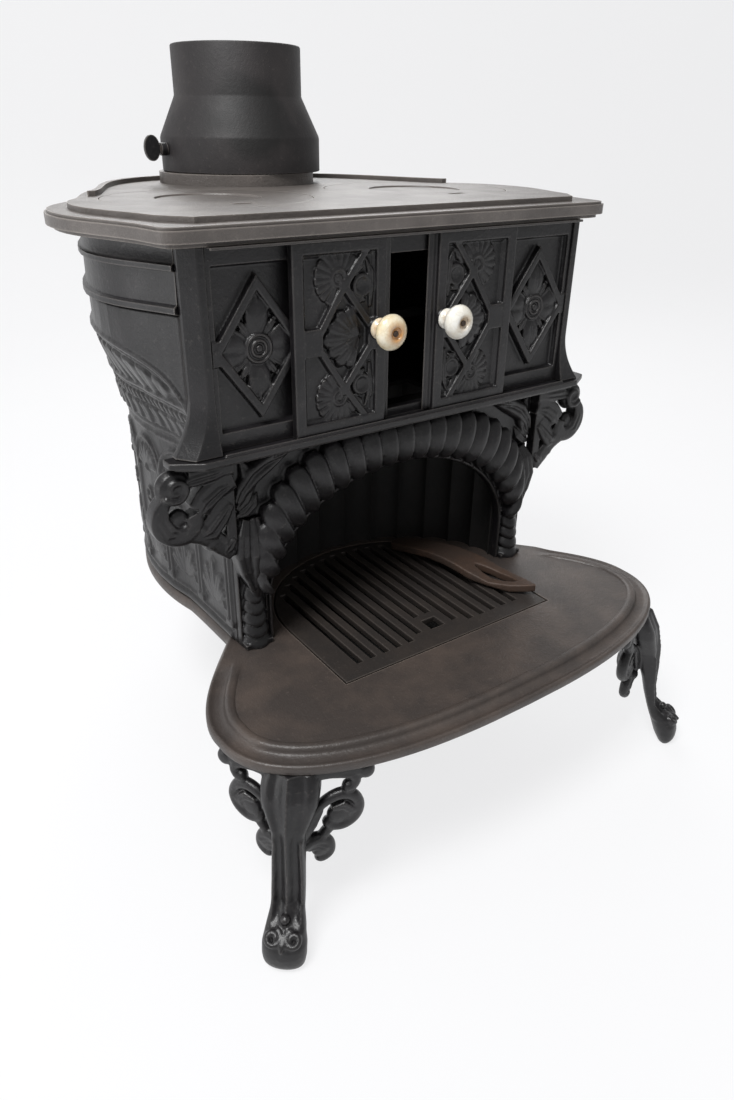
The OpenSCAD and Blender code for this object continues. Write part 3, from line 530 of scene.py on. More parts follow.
def block(u0, u1, v0, v1, w0, w1):
    made = bmesh.new()
    bmesh.ops.create_cube(made, size=1)
    bmesh.ops.scale(made, verts=made.verts, vec=(u1 - u0, v1 - v0, w1 - w0))
    bmesh.ops.translate(made, verts=made.verts, vec=((u0 + u1) / 2, (v0 + v1) / 2, (w0 + w1) / 2))
    return made


def spiral(u, v, r0, r1, start, end, n=18):
    """Points that wind about (u, v) from one radius and angle, in degrees, to another."""
    return [polar(r0 + (r1 - r0) * k / n, radians(start + (end - start) * k / n), u, v) for k in range(n + 1)]


def moved(pattern, place):
    """Every point of the pattern goes where place(u, v, w) says, and its faces look outwards again."""
    for v in pattern.verts:
        v.co = place(*v.co)
    bmesh.ops.recalc_face_normals(pattern, faces=pattern.faces)
    return pattern


def both_faces(draw):
    """What draw() makes, on the casting's one face and mirrored on its other."""
    return [moved(draw(), lambda u, v, w: Vector((u, v, w * face))) for face in (1, -1)]


def pair(stem):
    """The left and the right node of this name, each with its side: -1 and 1."""
    return (-1, stem + "_left"), (1, stem + "_right")


# %% [markdown]
# Casting melts the board and its ornament into one. A voxel remesh does what the iron does in the
# sand: it fuses overlapping shapes and rounds every inner and outer corner by about its grid size.
# A few rounds of smoothing take off the steps, and decimation thins the flat places.

# %% Casting


def cast(node, solid, material=black_iron, name=None, grid=0.8, soften=3, keep=0.4):
    piece = show(node, solid, material, name)
    melt = piece.modifiers.new("melt", "REMESH")
    melt.mode, melt.voxel_size = "VOXEL", grid * MM
    relax = piece.modifiers.new("relax", "SMOOTH")
    relax.factor, relax.iterations = 0.5, soften
    thin = piece.modifiers.new("thin", "DECIMATE")
    thin.ratio = keep
    settled = bpy.data.meshes.new_from_object(piece.evaluated_get(bpy.context.evaluated_depsgraph_get()))
    piece.modifiers.clear()
    piece.data = settled
    smooth(piece)
    print(piece.name, "faces:", len(settled.polygons))


# %% [markdown]
# The sliding doors. Each is a thin plate with a raised frame. Bars cross it at about 43 degrees and
# leave a diamond in the middle, filled with a shell of leaves that fans out from the knob. Daisies
# sit in the outer corners and curled leaves in the inner ones. The plate's meeting edge is set back.

# %% Doors
DOOR_W, DOOR_H, MID = 88, 140.4, 70.2
DOOR_Z = 344.3
PLATE = 1.5
FRAME_BAR = [(-4.5, 0), (-4.5, 6.2), (-3.9, 6.9), (3.8, 6.9), (4.5, 6.2), (4.9, 3.4), (6.6, 3), (6.9, 0)]
BAR = [(-3.2, 0), (-2.6, 5.7), (-2.1, 6.3), (2.1, 6.3), (2.6, 5.7), (3.2, 0)]
DAISY = [(0, 0.5), (0.5, 0.8), (0.8, 1), (0.93, 0.85), (1, 0.5)]
DAISY_EYE = [(0, 6.3), (2.2, 6), (3.2, 4.6), (4.2, 4.8), (5.6, 6), (6.8, 5.4), (7.4, 3.8), (7.6, 1), (0, 1)]
LOBE_END = [(0, 0.3), (0.3, 0.62), (0.6, 0.95), (0.8, 1), (0.93, 0.75), (1, 0.35)]


def daisy(u, v, facing, spread, petals, reach, height):
    """Petals over part of a circle, about a ring and a button, domed so that the rim lies low."""
    made = bmesh.new()
    for k in range(petals):
        a = radians(facing - spread / 2 + spread * k / (petals - 1))
        run = [(*polar(reach * s, a, u, v), PLATE + 1.6 * (1 - s ** 2))
               for s in (0.3, 0.45, 0.6, 0.75, 0.88, 0.96, 1)]
        join(made, leaf(run, reach * pi * spread / 360 / petals * 1.04, height, 0.1, foot=1, shape=DAISY))
    return join(made, turned(DAISY_EYE, u, v))


def door_pattern():
    low, high, inner, outer = 4.5, DOOR_H - 4.5, 11.5, DOOR_W - 4.5
    whole = join(block(0, DOOR_W, 0, DOOR_H, 0, PLATE), block(3, 13, 1, DOOR_H - 1, 0, 3),
                 sweep([(outer, low), (outer, high), (inner, high), (inner, low)], FRAME_BAR,
                       closed=True, foot=1))
    for s in (-1, 1):
        join(whole,
             sweep([(66, MID + s * 5), (44, MID + s * 38), (21, MID + s * 67)], BAR, foot=1),
             sweep([(44, MID + s * 38), (20, MID + s * 7)], BAR, foot=1),
             block(39.6, 48, MID + s * 38 - 4.4, MID + s * 38 + 4.4, 0, 6.3),
             daisy(48.5, MID + s * 44, s * 36, 205, 11, 20, 3),
             turned([(0, 3), (4.4, 3.4), (6, 4.6), (7.4, 4.9), (8.6, 3.8), (9, 1), (0, 1)],
                    27.5, MID + s * 37))
        for run, width, height, groove in (
                ([(20, 21, 2), (19.4, 34, 2.6), (20, 46, 2.6), (24, 56, 2)], 3, 3, 0.5),
                ([(34, 45, 2), (29, 51, 2.4), (25, 58, 2)], 3, 3, 0.3),
                ([(24, 26, 2), (29, 27, 2.4), (33, 31, 2)], 2.6, 3, 0.3)):
            join(whole, leaf([(u, MID + s * v, w) for u, v, w in run], width, height, groove, foot=1))
    join(whole, block(63.5, 80, MID - 10, MID + 10, 0, 6.6), block(15, 23, MID - 11, MID + 11, 0, 6.4))
    for turn, length in ((0, 34), (21, 31), (-21, 31), (43, 29), (-43, 29), (65, 25), (-65, 25)):
        a = radians(turn)
        bend = [(*polar(length * t, a * (0.7 + 0.3 * t), 28, MID), 0.6 + 2 * sin(pi * t ** 1.3))
                for t in (0.08, 0.25, 0.42, 0.6, 0.76, 0.9, 1.0)]
        join(whole, leaf(bend, length * 0.185, 4.6, 0.12, foot=0.5, shape=LOBE_END))
    return join(whole, turned([(0, 8.9), (7.4, 8.9), (8, 8), (8, 0), (0, 0)], 15, KNOB_Z - DOOR_Z))


MEETING = {-1: -24.3, 1: 11.3}          # where each door's meeting edge lies
for side, name in pair("door"):
    cast(name, moved(door_pattern(), lambda u, v, w: at(MEETING[side] + side * u, -1.5 - w, DOOR_Z + v)),
         grid=0.7)

# %% [markdown]
# The fixed panels beside the doors have a sunk field with a stepped edge, and a lozenge round a
# flower: four big veined petals, four small pointed leaves between them, and a ringed button.

# %% Fixed panels
PANEL_STEP = [(-6.4, 0), (-6.4, 3.4), (-5.9, 4.4), (-4.6, 4.5), (-4, 3.6), (-3.6, 1.5), (-1.4, 1.5),
              (-0.9, 2.7), (0.3, 2.8), (0.9, 1.8), (1, 0)]
PANEL_BAR = [(-3.5, -6), (-3.1, 0.2), (-2.5, 1.1), (2.5, 1.1), (3.1, 0.2), (3.5, -6)]
TALL_PETAL = [(0, 0.5), (0.3, 0.9), (0.55, 1), (0.8, 0.8), (1, 0.25)]
WIDE_PETAL = [(0, 0.5), (0.25, 0.88), (0.5, 1), (0.75, 0.92), (0.92, 0.62), (1, 0.3)]
RINGED_BUTTON = [(0, 1.1), (2.2, 0.9), (3, -1.4), (4.2, -1.4), (5, 0.6), (6.2, 0.8), (7.2, -1.2), (8.2, -1.2),
                 (9, 0.6), (10.4, 0.4), (11.2, -2), (11.4, -7), (0, -7)]
PANEL_X, PANEL_Z = 136, 415             # the middle of its flower


def panel_pattern():
    whole = block(-36.8, 50.8, -70.8, 70.8, -8, -5.4)
    for u0, u1, v0, v1 in ((-36.8, -33, -70.8, 70.8), (42, 50.8, -70.8, 70.8), (-36.8, 50.8, -70.8, -57),
                           (-36.8, 50.8, 58, 70.8)):
        join(whole, block(u0, u1, v0, v1, -6, 0))
    edge = sweep([(-33, -57), (-33, 58), (42, 58), (42, -57)], [(-s, h) for s, h in PANEL_STEP], closed=True)
    join(whole, moved(edge, lambda u, v, w: Vector((u, v, w - 5.4))),
         sweep([(-33, 0), (0, 45.5), (33, 0), (0, -45.5)], PANEL_BAR, closed=True))
    for s in (-1, 1):
        join(whole, block(s * 33.4 - 3.4, s * 33.4 + 3.4, -8.5, 8.5, -6, 0.8))
    for k in range(4):
        a = pi / 2 * k
        upright = k % 2
        longest, wide = (36, 9.5) if upright else (28.5, 11.5)
        spine = [(*polar(r, a), -5 + 2.4 * sin(pi * (r - 5) / longest))
                 for r in [9 + (longest - 9) * s / 9 for s in range(10)]]
        join(whole, leaf(spine, wide, 3.4, 0.25, foot=-7, shape=TALL_PETAL if upright else WIDE_PETAL))
        for turn in (-0.34, 0, 0.34):
            tip = longest * (0.93 if turn else 1.06) if upright else longest * 0.94
            vein = [(*polar(r, a + turn * s), w)
                    for s, r, w in ((0.2, 12, -1.4), (0.6, longest * 0.6, -0.6), (1, tip, -2.4))]
            join(whole, rod(vein, 1.3 if upright else 0.9, ((0, 0.6), (0.6, 1), (1, 0.8)), 8))
        for b in (a + 0.62, a + 0.95):
            join(whole, leaf([(*polar(r, b), -4.4) for r in (10, 14, 18, 22, 25)], 2.9, 4, 0.4, foot=-7))
    return join(whole, turned(RINGED_BUTTON, steps=36))


for side, name in pair("front_panel"):
    cast(name, moved(panel_pattern(), lambda u, v, w: at(side * (PANEL_X - u), -w, PANEL_Z + v)), grid=0.7)

# %% [markdown]
# The arch over the fire wears a heavy rope moulding: about twenty-three lobes that overlap like
# shingles. Each lobe runs from the ledge down to the opening over a bulging back, and stands highest
# along its right edge. The flat casting behind is the model's own, cut free of its plain block.

# %% Arch


def evenly(curve, count):
    """Points at even distances along a curve, and how far along it each lies, from 0 to 1."""
    lengths = distances(curve)
    found = []
    for k in range(count):
        s = lengths[-1] * k / (count - 1)
        j = max(i for i in range(len(curve) - 1) if lengths[i] <= s + 1e-9)
        found.append(curve[j].lerp(curve[j + 1], (s - lengths[j]) / max(1e-9, lengths[j + 1] - lengths[j])))
    return found


def oval(rx, ry, power, start, end, n=160):
    """Points on an oval about (0, 200): power 2 is an ellipse, and a higher one is squarer."""
    made = []
    for k in range(n + 1):
        a = radians(start + (end - start) * k / n)
        made.append(Vector((rx * copysign(abs(cos(a)) ** (2 / power), cos(a)),
                            200 + ry * abs(sin(a)) ** (2 / power), 0)))
    return made


LOBES = 23
inner_line = evenly(oval(136, 99, 2, 173, 7), LOBES)
outer_line = evenly(oval(147, 134, 3, 172, 8), LOBES)
ARCH_FACE = 14
SHINGLE = [(-1.08, 0), (-1.02, 1.4), (-0.8, 3.6), (-0.45, 5.7), (0, 7.2), (0.4, 7.6), (0.7, 6.9), (0.9, 5.1),
           (1, 2.6), (1.02, 0)]
LOBE = [(0, 0.5), (0.06, 0.8), (0.18, 1), (0.78, 1), (0.9, 0.8), (0.97, 0.55), (1, 0.3)]


def arch_pattern():
    whole = bmesh.new()
    for k, (outer, inner) in enumerate(zip(outer_line, inner_line)):
        after, before = min(k + 1, LOBES - 1), max(k - 1, 0)
        across = inner_line[after] - inner_line[before]
        wide, narrow = (outer_line[after] - outer_line[before]).length / 4, across.length / 4
        lean = across.normalized()
        spine = []
        for s in range(15):
            t = s / 14
            place = outer.lerp(inner, t) + lean * (2.8 * sin(pi * t) * (2 * k / (LOBES - 1) - 1))
            place.z = 10 * sin(pi * (0.04 + 0.92 * t)) ** 0.6
            spine.append(place)
        join(whole, sweep(spine, SHINGLE, foot=-3, size=lambda t: (
            (wide + (narrow - wide) * t) * between(LOBE, t), 0.4 + 0.6 * between(LOBE, t))))
    edge = [(-131.5, 162, 0), (-131.5, 180, 0), *oval(131.5, 96.5, 2, 180, 0, 60),
            (131.5, 180, 0), (131.5, 162, 0)]
    join(whole, sweep(edge, [(-1.6, 0), (-1.4, 1.6), (0, 2.4), (1.4, 1.6), (1.6, 0)], foot=-3))
    for s in (-1, 1):
        for path, wide, high in (
                ([(157, 296), (152, 306), (142, 317), (127, 325), (108, 330)], 9, 9),
                ([(157, 290), (150, 297), (146, 308), (147, 320), (152, 330)], 7, 7),
                ([(158, 284), (150, 286), (143, 292), (139, 300)], 5, 6),
                ([(140, 322), (130, 327), (116, 331), (98, 333)], 4, 10)):
            join(whole, leaf([(s * u, v) for u, v in path], wide, high, 0.4, foot=-3))
    return moved(whole, lambda u, v, w: at(u, ARCH_FACE - w, v))


arch = copy_of("arch_front")
bmesh.ops.bisect_plane(arch, geom=arch.verts[:] + arch.edges[:] + arch.faces[:], dist=1e-7,
                       plane_co=at(0, ARCH_FACE - 0.02, 0), plane_no=(0, -1, 0), clear_outer=True)
bmesh.ops.holes_fill(arch, edges=[e for e in arch.edges if e.is_boundary])
cast("arch_front", join(arch, arch_pattern()), name="arch_casting", grid=0.9, keep=0.35)

# %% [markdown]
# Cast iron that is plain but curved, such as the side jackets, keeps the model's own mesh. It only
# needs its shading smoothed where the faces meet at a shallow angle.

# %% Smooth castings
for node in ("lower_back", "jacket_left", "jacket_right", "upper_back"):
    smooth(show(node, copy_of(node), black_iron), 32)

# %% [markdown]
# The corner posts spread outwards in a curve at the foot, where they stand on the ledge. The loft
# takes one plan and spreads it more and more towards the foot.

# %% Corner posts
POST = [(-173.3, -2), (-179, -2), (-189, 8), (-189, 11.7), (-173.3, 11.7)]
POST_LOW, POST_HIGH, FLARE, FLARE_SHARE = 344.3, 485.7, 16, 0.3


def spread_post(d, z, side):
    """The post's plan at one level, with its outer and front corners pushed out by d."""
    ring = []
    for x, y in POST:
        forward = 0.4 * d if y < 0 else 0.2 * d if y < 9 else 0
        ring.append(at(-side * (x - (d if x < -174 else 0)), y - forward, z))
    return ring


levels = [FLARE_SHARE * k / 15 for k in range(16)] + [1]
for side, name in pair("corner_post"):
    rings = [spread_post(FLARE * max(0, 1 - s / FLARE_SHARE) ** 2,
                         POST_LOW + (POST_HIGH - POST_LOW) * s, side) for s in levels]
    eased(name, black_iron, 1.0, solid=loft(rings))

# %% [markdown]
# The columns that carry the ledge have a big curled leaf at the top, and below it a string of bell
# flowers, each with a rolled lip that overlaps the next. A bell is lofted from rings that open downwards.

# %% Columns
BELL = ((0, 0.86), (0.05, 0.97), (0.14, 1), (0.26, 0.95), (0.42, 0.78), (0.62, 0.5), (0.82, 0.22), (1, 0))
COLUMN_X = 146.1


def bell(v0, v1, r0, r1):
    """One bell against the wall, narrow at v1, with a rolled lip at v0."""
    around = [2 * pi * k / 28 for k in range(28)]
    rings = []
    for s, spread in BELL:
        r = r0 + (r1 - r0) * spread
        rings.append([Vector((r * cos(a), v0 + (v1 - v0) * s - 4.5 * spread * max(0, sin(a)) ** 1.5,
                              r * 1.05 * sin(a))) for a in around])
    return loft(rings)


def column_pattern():
    whole = join(block(-13.8, 13.8, 160.4, 279.6, -5, 0), block(-13.6, -11.6, 160.4, 279.6, -4, 2),
                 block(11.6, 13.6, 160.4, 279.6, -4, 2), block(-13, 13, 160.4, 165, -4, 10))
    for k, v in enumerate((163, 174, 185, 196, 207)):
        join(whole, bell(v, v + 17, 4, 12.8 - k * 0.9))
    for path, wide in (
            ([(-4, 279, 4), (-9, 268, 9), (-11, 252, 11), (-8, 236, 10), (-3, 222, 8), (1, 211, 7)], 6.5),
            ([(4, 279, 4), (3, 266, 10), (2, 250, 13), (2, 234, 12), (2, 220, 9), (2, 210, 7)], 7),
            ([(9, 279, 3), (10, 268, 6), (10, 254, 8), (8, 240, 8), (5, 226, 7), (3, 214, 6)], 5)):
        join(whole, leaf(path, wide, 5, 0.35, foot=-2, shape=((0, 0.6), (0.3, 1), (0.7, 0.8), (1, 0.3))))
    return join(whole, rod([(-12, 276, 4), (-13, 262, 8), (-12, 246, 11), (-8, 230, 11), (-3, 216, 10)], 2.4))


for side, name in pair("column"):
    cast(name, moved(column_pattern(), lambda u, v, w: at(side * (COLUMN_X - u), min(17 - w, 21.8), v)))

# %% [markdown]
# The scroll brackets are pierced, so their shape is all in the stems: a C scroll hangs from the
# ledge's end and winds into a volute, an S scroll runs from there to the column, and leaves fill in.

# %% Brackets
LEAVES = (([(-2, -7), (-16, -9), (-32, -10), (-50, -12)], 5.5),
          ([(-56, -26), (-59, -36), (-54, -47), (-42, -51)], 6),
          ([(-2, -20), (-12, -23), (-24, -31), (-31, -40)], 6),
          ([(-4, -36), (-12, -46), (-21, -56), (-32, -58)], 6.5),
          ([(-3, -66), (-8, -71), (-13, -78)], 4.5))
BRACKET_X, BRACKET_Y, BRACKET_Z = 160.3, 10.5, 335.4


def bracket_pattern():
    whole = join(
        ribbon([(0, -6.5), (-18, -7), (-36, -7)], 6.4, 7),
        button(-47, -14, 14, 8.5),
        ribbon([(-55, -22), (-60.5, -31), (-60, -42), (-52, -51), (-41, -52), (-34, -45), (-36, -37)], 6.6, 7,
               ((0, 0.7), (0.4, 1.2), (0.75, 1.1), (1, 0.9))),
        button(-46, -39, 8, 5),
        ribbon([(-1, -15), (-12, -19), (-22, -25), (-30, -35)], 9, 6.6),
        ribbon([(-38, -52), (-26, -58), (-15, -68), (-6, -80)], 7.6, 6.6, ((0, 1), (0.7, 1), (1, 0.6))),
        ribbon([(-6, -34), (-16, -44), (-22, -54)], 8, 5.4),
        block(-9, -0.4, -81, -1, -5, 5),
        button(-22, -66, 6.4, 7))
    for path, wide in LEAVES:
        join(whole, *both_faces(lambda: leaf([(*p, 4.6) for p in path], wide, 4, 0.5, foot=0)))
    volute = [(*p, 7) for p in spiral(-47, -14, 10, 2, 200, 680, 26)]
    return join(whole, *both_faces(lambda: rod(volute, 2.6)))


for side, name in pair("bracket"):
    cast(name, moved(bracket_pattern(),
                     lambda u, v, w: at(side * (BRACKET_X - u), BRACKET_Y - w, BRACKET_Z + v)))

# %% [markdown]
# A leg is a cabriole: its knee stands under the hearth's rim, its ankle is slim, and its toe carries
# two small volutes. Rings of a squarish oval are lofted from the floor up, with shallow flutes down
# the front. Two pierced scroll wings spring from the knee along the rim.

# %% Legs
LEG_TOP, LEG_STEPS, LEG_SIDES = 148.8, 50, 84
FRONT_EDGE = [(0, 54.5), (0.03, 58), (0.06, 59), (0.1, 59), (0.14, 57.6), (0.18, 53.5), (0.21, 48),
              (0.25, 39), (0.3, 32.5), (0.42, 29), (0.57, 28), (0.72, 26), (0.88, 20), (1, 11)]
BACK_EDGE = [(0, 42), (0.06, 37), (0.13, 33), (0.27, 25), (0.39, 19), (0.49, 15), (0.58, 10), (0.69, 5),
             (0.82, -4), (0.93, -11), (1, -14)]
HALF_WIDE = [(0, 13), (0.03, 15.8), (0.08, 17), (0.14, 17), (0.2, 15.2), (0.27, 13), (0.37, 13), (0.55, 12.5),
             (0.64, 12), (0.7, 13), (0.77, 17), (0.84, 21), (0.91, 22), (0.96, 21), (1, 18)]
BIG_SCROLL = [(5, -66), (11, -54), (18, -41), (28, -31), (40, -26.5), (50, -30), (54.5, -40), (51, -50),
              (42, -56), (32, -55), (27, -48)]
# Node, side, place under the plate, and the direction that the leg faces, in degrees
STANDS = (("front_leg_left", 1, (-192, -123), 228), ("front_leg_right", -1, (-192, -123), 228),
          ("rear_leg", 1, (0, 315), 90))


def leg_ring(h):
    """The leg's section at this share of its height, with flutes down its front above the toe."""
    x0, x1, wide = between(BACK_EDGE, h), between(FRONT_EDGE, h), between(HALF_WIDE, h)
    square = 0.9 if h < 0.2 else 0.65
    ring = []
    for j in range(LEG_SIDES):
        a = 2 * pi * j / LEG_SIDES
        c, s = cos(a), sin(a)
        x = (x0 + x1) / 2 + (x1 - x0) / 2 * copysign(abs(c) ** square, c)
        y = wide * copysign(abs(s) ** (square + 0.1), s)
        if c > 0 and h > 0.22:
            off = abs(y)
            x += 3.2 * exp(-(off / 2) ** 2) - 2.6 * exp(-((off - wide * 0.48) / 3) ** 2) - 0.6
            if h < 0.68:
                x += 2.2 * exp(-((off - wide * 0.86) / 1.8) ** 2)
        ring.append(Vector((x, y, h * LEG_TOP)))
    return ring


def wing_pattern():
    """A wing drawn flat: u along the plate's rim from the knee, v up from the leg's top."""
    made = join(
        ribbon([(0, -4.4), (20, -4), (40, -4), (55, -5)], 4, 4),
        button(60.5, -7, 7.6, 5),
        rod([(22, -5), (36, -6), (47, -8), (52, -14), (48, -20), (41, -18.5)], 4.8,
            ((0, 0.7), (0.6, 1), (1, 1.1))),
        rod(BIG_SCROLL, 4.9, ((0, 1.5), (0.3, 0.85), (0.65, 1.1), (1, 1))),
        button(37.5, -46, 9.4, 4.8),
        rod([(33, -56), (27, -62), (22, -70)], 4.4),
        rod([(6, -74), (14, -69), (23, -68), (30, -73), (30.5, -82), (24, -87), (18, -84)],
            4.6, ((0, 1.4), (0.5, 1), (1, 1))),
        button(22, -78, 7.4, 4.8))
    for path, wide in (([(5, -72), (10, -60), (16, -49), (25, -38)], 5),
                       ([(32, -38), (42, -36), (49, -42), (45, -51)], 4),
                       ([(12, -76), (20, -72), (27, -76), (26, -83)], 4)):
        join(made, *both_faces(lambda: leaf([(*p, 2.4) for p in path], wide, 3.4, 0.4, foot=0)))
    return made


def leg_pattern():
    whole = loft([leg_ring(k / LEG_STEPS) for k in range(LEG_STEPS + 1)])
    up, over = Vector((-0.83, 0, 0.555)), Vector((0.555, 0, 0.83))
    for s in (-1, 1):
        curl = rod(spiral(0, 0, 7, 1.4, 100, 620, 30), 2.5, ((0, 0.7), (0.6, 1), (1, 1.2)))
        turn = Matrix.Rotation(radians(s * 112), 3, "Z")
        join(whole,
             moved(curl, lambda u, v, w: Vector((50.6, s * (u + 7.7), 29)) + up * v + over * (w - 0.2)),
             moved(wing_pattern(),
                   lambda u, v, w: turn @ Vector((u * 0.93, w, 0)) + Vector((8, 0, LEG_TOP + v))))
    toe = leaf([(-9, 0), (-3, 0), (3, 0)], 3.2, 3, 0.3, foot=-2)
    return join(whole,
                moved(button(0, 0, 4, 3.4), lambda u, v, w: Vector((41.5, v, 38)) + up * u + over * w),
                moved(toe, lambda u, v, w: Vector((52, v, 29)) + up * u + over * (w - 0.5)),
                block(-31, -5, -9, 9, LEG_TOP - 12, LEG_TOP + 0.9))


for name, side, place, facing in STANDS:
    turn = Matrix.Rotation(radians(facing), 3, "Z")


    def stand(u, v, w):
        spot = turn @ Vector((u, v, 0))
        return at(side * (spot.x + place[0]), spot.y + place[1], max(0, min(w, LEG_TOP + 0.9)))


    cast(name, moved(leg_pattern(), stand), grid=0.9)

# %% [markdown]
# The fireback is a half cylinder of upright hollows between thin ribs, which make it stiffer and
# throw the heat forward. One upright slice after another is lofted along the arc.

# %% Fireback
FLUTES, PER = 13, 8
BACK_LOW, BACK_HIGH = 160.3, 329.8
slices = []
for k in range(FLUTES * PER + 1):
    a = pi - pi * k / (FLUTES * PER)
    hollow = 4.6 * abs(sin(pi * k / PER)) ** 0.6
    inner = ((128 + hollow) * cos(a), 22.4 + (100 + hollow) * sin(a))
    outer = (134 * cos(a), 22.4 + 106 * sin(a))
    slices.append([at(*inner, BACK_LOW), at(*inner, BACK_HIGH), at(*outer, BACK_HIGH), at(*outer, BACK_LOW)])
smooth(show("fireback", loft(slices), sooty_iron), 50)

# %% [markdown]
# The hearth plate is drawn from its outline. Insets of the outline, each at its own height, make the
# rim: a lip, a sloping flange and a round bead. Under the side castings, the flange and the bead run
# out into the flat field. A fill between two loops leaves the opening for the grate.

# %% Hearth plate


def mirrored(half):
    """A closed outline from its left half."""
    return half + [Vector((-p.x, p.y)) for p in reversed(half) if abs(p.x) > 0.01]


def inset(outline, d):
    """The outline, which runs clockwise seen from above, with every side moved inwards by d."""
    moved_in = []
    for k, p in enumerate(outline):
        a = (p - outline[k - 1]).normalized()
        b = (outline[(k + 1) % len(outline)] - p).normalized()
        both = Vector((a.y + b.y, -a.x - b.x))
        moved_in.append(p + both * (d / (1 + a.dot(b))))
    return moved_in


base_line = (bezier((-160, 22.2), (-161, 52), (-161, 81), (-163, 110), 24)
             + bezier((-163, 110), (-194, 236), (-110, 358), (0, 358), 56) + [Vector((0, 358))])
base_half = inset(mirrored(base_line), -3)[4:len(base_line)]
corner = [radians(264 - 2 * k) for k in range(41)]
apron = mirrored([Vector((0, -170))]
                 + [Vector((-227 * abs(cos(a)) ** 0.8, -70 - 100 * abs(sin(a)) ** 0.8)) for a in corner]
                 + bezier((-227, -70), (-227, -32), (-185, 10), base_half[0], 24) + base_half)
grate_hole = mirrored([Vector((0, -76)), Vector((-113, -76))]
                      + [Vector((113 * cos(a), 18 + 101 * sin(a)))
                         for a in (pi - pi / 2 * k / 24 for k in range(25))])
# Inset, height in front, height under the castings
RIM = [(26, 154, 154), (11, 153, 153), (10, 149, 149), (2, 149, 149), (0.6, 149.4, 149.4),
       (0, 150.6, 150.6), (0, 155, 155), (0.5, 156.2, 156.4), (1.4, 157, 157.8), (2.6, 157.2, 159),
       (3.6, 156.8, 159.8), (4.6, 155.9, 160), (7, 155.6, 160), (10, 155.8, 160), (12.6, 156.4, 160),
       (13.8, 157.2, 160), (14.4, 158.8, 160), (15, 160.4, 160), (15.9, 161.4, 160), (17.2, 161.9, 160),
       (18.8, 162, 160), (20.4, 161.9, 160), (21.7, 161.4, 160), (22.5, 160.6, 160), (23, 160, 160),
       (26, 160, 160)]
OPENING = [(-7, 154), (-7, 150), (8, 150), (8, 154), (-1.6, 154), (-1.6, 160)]


def hearth_pattern():
    front = [max(0, min(1, (8 - p.y) / 14)) for p in apron]
    whole = loft([[Vector((p.x, p.y, back + (fore - back) * f)) for p, f in zip(inset(apron, d), front)]
                  for d, fore, back in RIM], ends=False)
    join(whole, loft([[Vector((p.x, p.y, z)) for p in inset(grate_hole, d)] for d, z in OPENING], ends=False))
    for level in (154, 160):
        bmesh.ops.triangle_fill(whole, use_beauty=True, use_dissolve=False, edges=[
            e for e in whole.edges if e.is_boundary and all(abs(v.co.z - level) < 0.2 for v in e.verts)])
    bmesh.ops.recalc_face_normals(whole, faces=whole.faces)
    for x, y, facing in ((-192, -123, 228), (192, -123, -48), (0, 315, 90)):
        bolt = Matrix.Rotation(radians(facing), 2) @ Vector((-22, 0))
        join(whole, turned([(0, 154.5), (8, 154.5), (8, 150), (0, 150)], x + bolt.x, y + bolt.y))
    return whole


smooth(show("hearth_plate", moved(hearth_pattern(), at), hearth_iron), 50)

# %% [markdown]
# The lid lifter keeps the model's own form. It is melted like the ornament and smoothed for longer,
# because a hand tool wears round.

# %% Lid lifter
cast("lid_lifter", copy_of("lid_lifter"), lifter_iron, soften=14)

# %% [markdown]
# The side castings go straight up from the hearth and then spread out in a cove to the wider jackets.
# Their relief is drawn flat, by distance round the wall and by height, and each point is then laid on
# the wall's own curve. The design is a traditional one: an arcade of shell niches below, a row of
# dentils on the ledge, upright leaves up the cove, and a double moulding that follows the arched edge.

# %% Side relief
lower_half = (bezier((-160, 22.2), (-161, 52), (-161, 81), (-163, 110), 6)
              + bezier((-163, 110), (-194, 236), (-110, 358), (0, 358), 14))
upper_half = (bezier((-189, 12), (-201, 42), (-216, 62), (-216, 95), 6)
              + bezier((-216, 95), (-216, 172), (-112, 362), (0, 362), 14))
SPANS = 14                      # straight stretches of the outline that the side casting covers
reach = distances(lower_half[:SPANS + 1])
SIDE = reach[-1]
print("side casting, mm round the wall:", round(SIDE))


def on_path(path, s):
    k = max(0, min(SPANS - 1, int(s)))
    return path[k].lerp(path[k + 1], s - k)


def arch_edge(u):
    """Height of the cove's arched upper edge at a distance round the wall."""
    y = on_path(upper_half, place_of(u)).y
    return 348 + 72.7 * max(0, 1 - abs((y - 150) / 139) ** 3) ** (1 / 3)


def place_of(u):
    u = max(0.0, min(u, SIDE - 1e-6))
    k = max(i for i in range(SPANS) if reach[i] <= u)
    return k + (u - reach[k]) / (reach[k + 1] - reach[k])


def on_wall(u, v, w, side):
    """Lays a point of the flat relief on the side casting: w outwards from its surface."""
    s = place_of(u)
    up = max(0, min(1, (v - 330) / (arch_edge(u) - 330)))
    out = w + (5 * (1 - up) ** 0.6 if v > 329 else 0)
    p, here, q = [on_path(lower_half, x).lerp(on_path(upper_half, x), up ** 1.2)
                  for x in (max(0, s - 0.3), s, min(SPANS, s + 0.3))]
    along = (q - p).normalized()
    spot = here + Vector((-along.y, along.x)) * out
    return at(-side * spot.x, spot.y, v)


HALF_ROUND = [(-1, 0), (-0.8, 0.6), (-0.3, 0.95), (0.3, 0.95), (0.8, 0.6), (1, 0)]
NICHES, TOOTH = 5, 8.4


def bead(path, half, out):
    """A half round moulding of this half width and height."""
    return sweep(path, [(s * half, h * out) for s, h in HALF_ROUND], foot=-1.5)


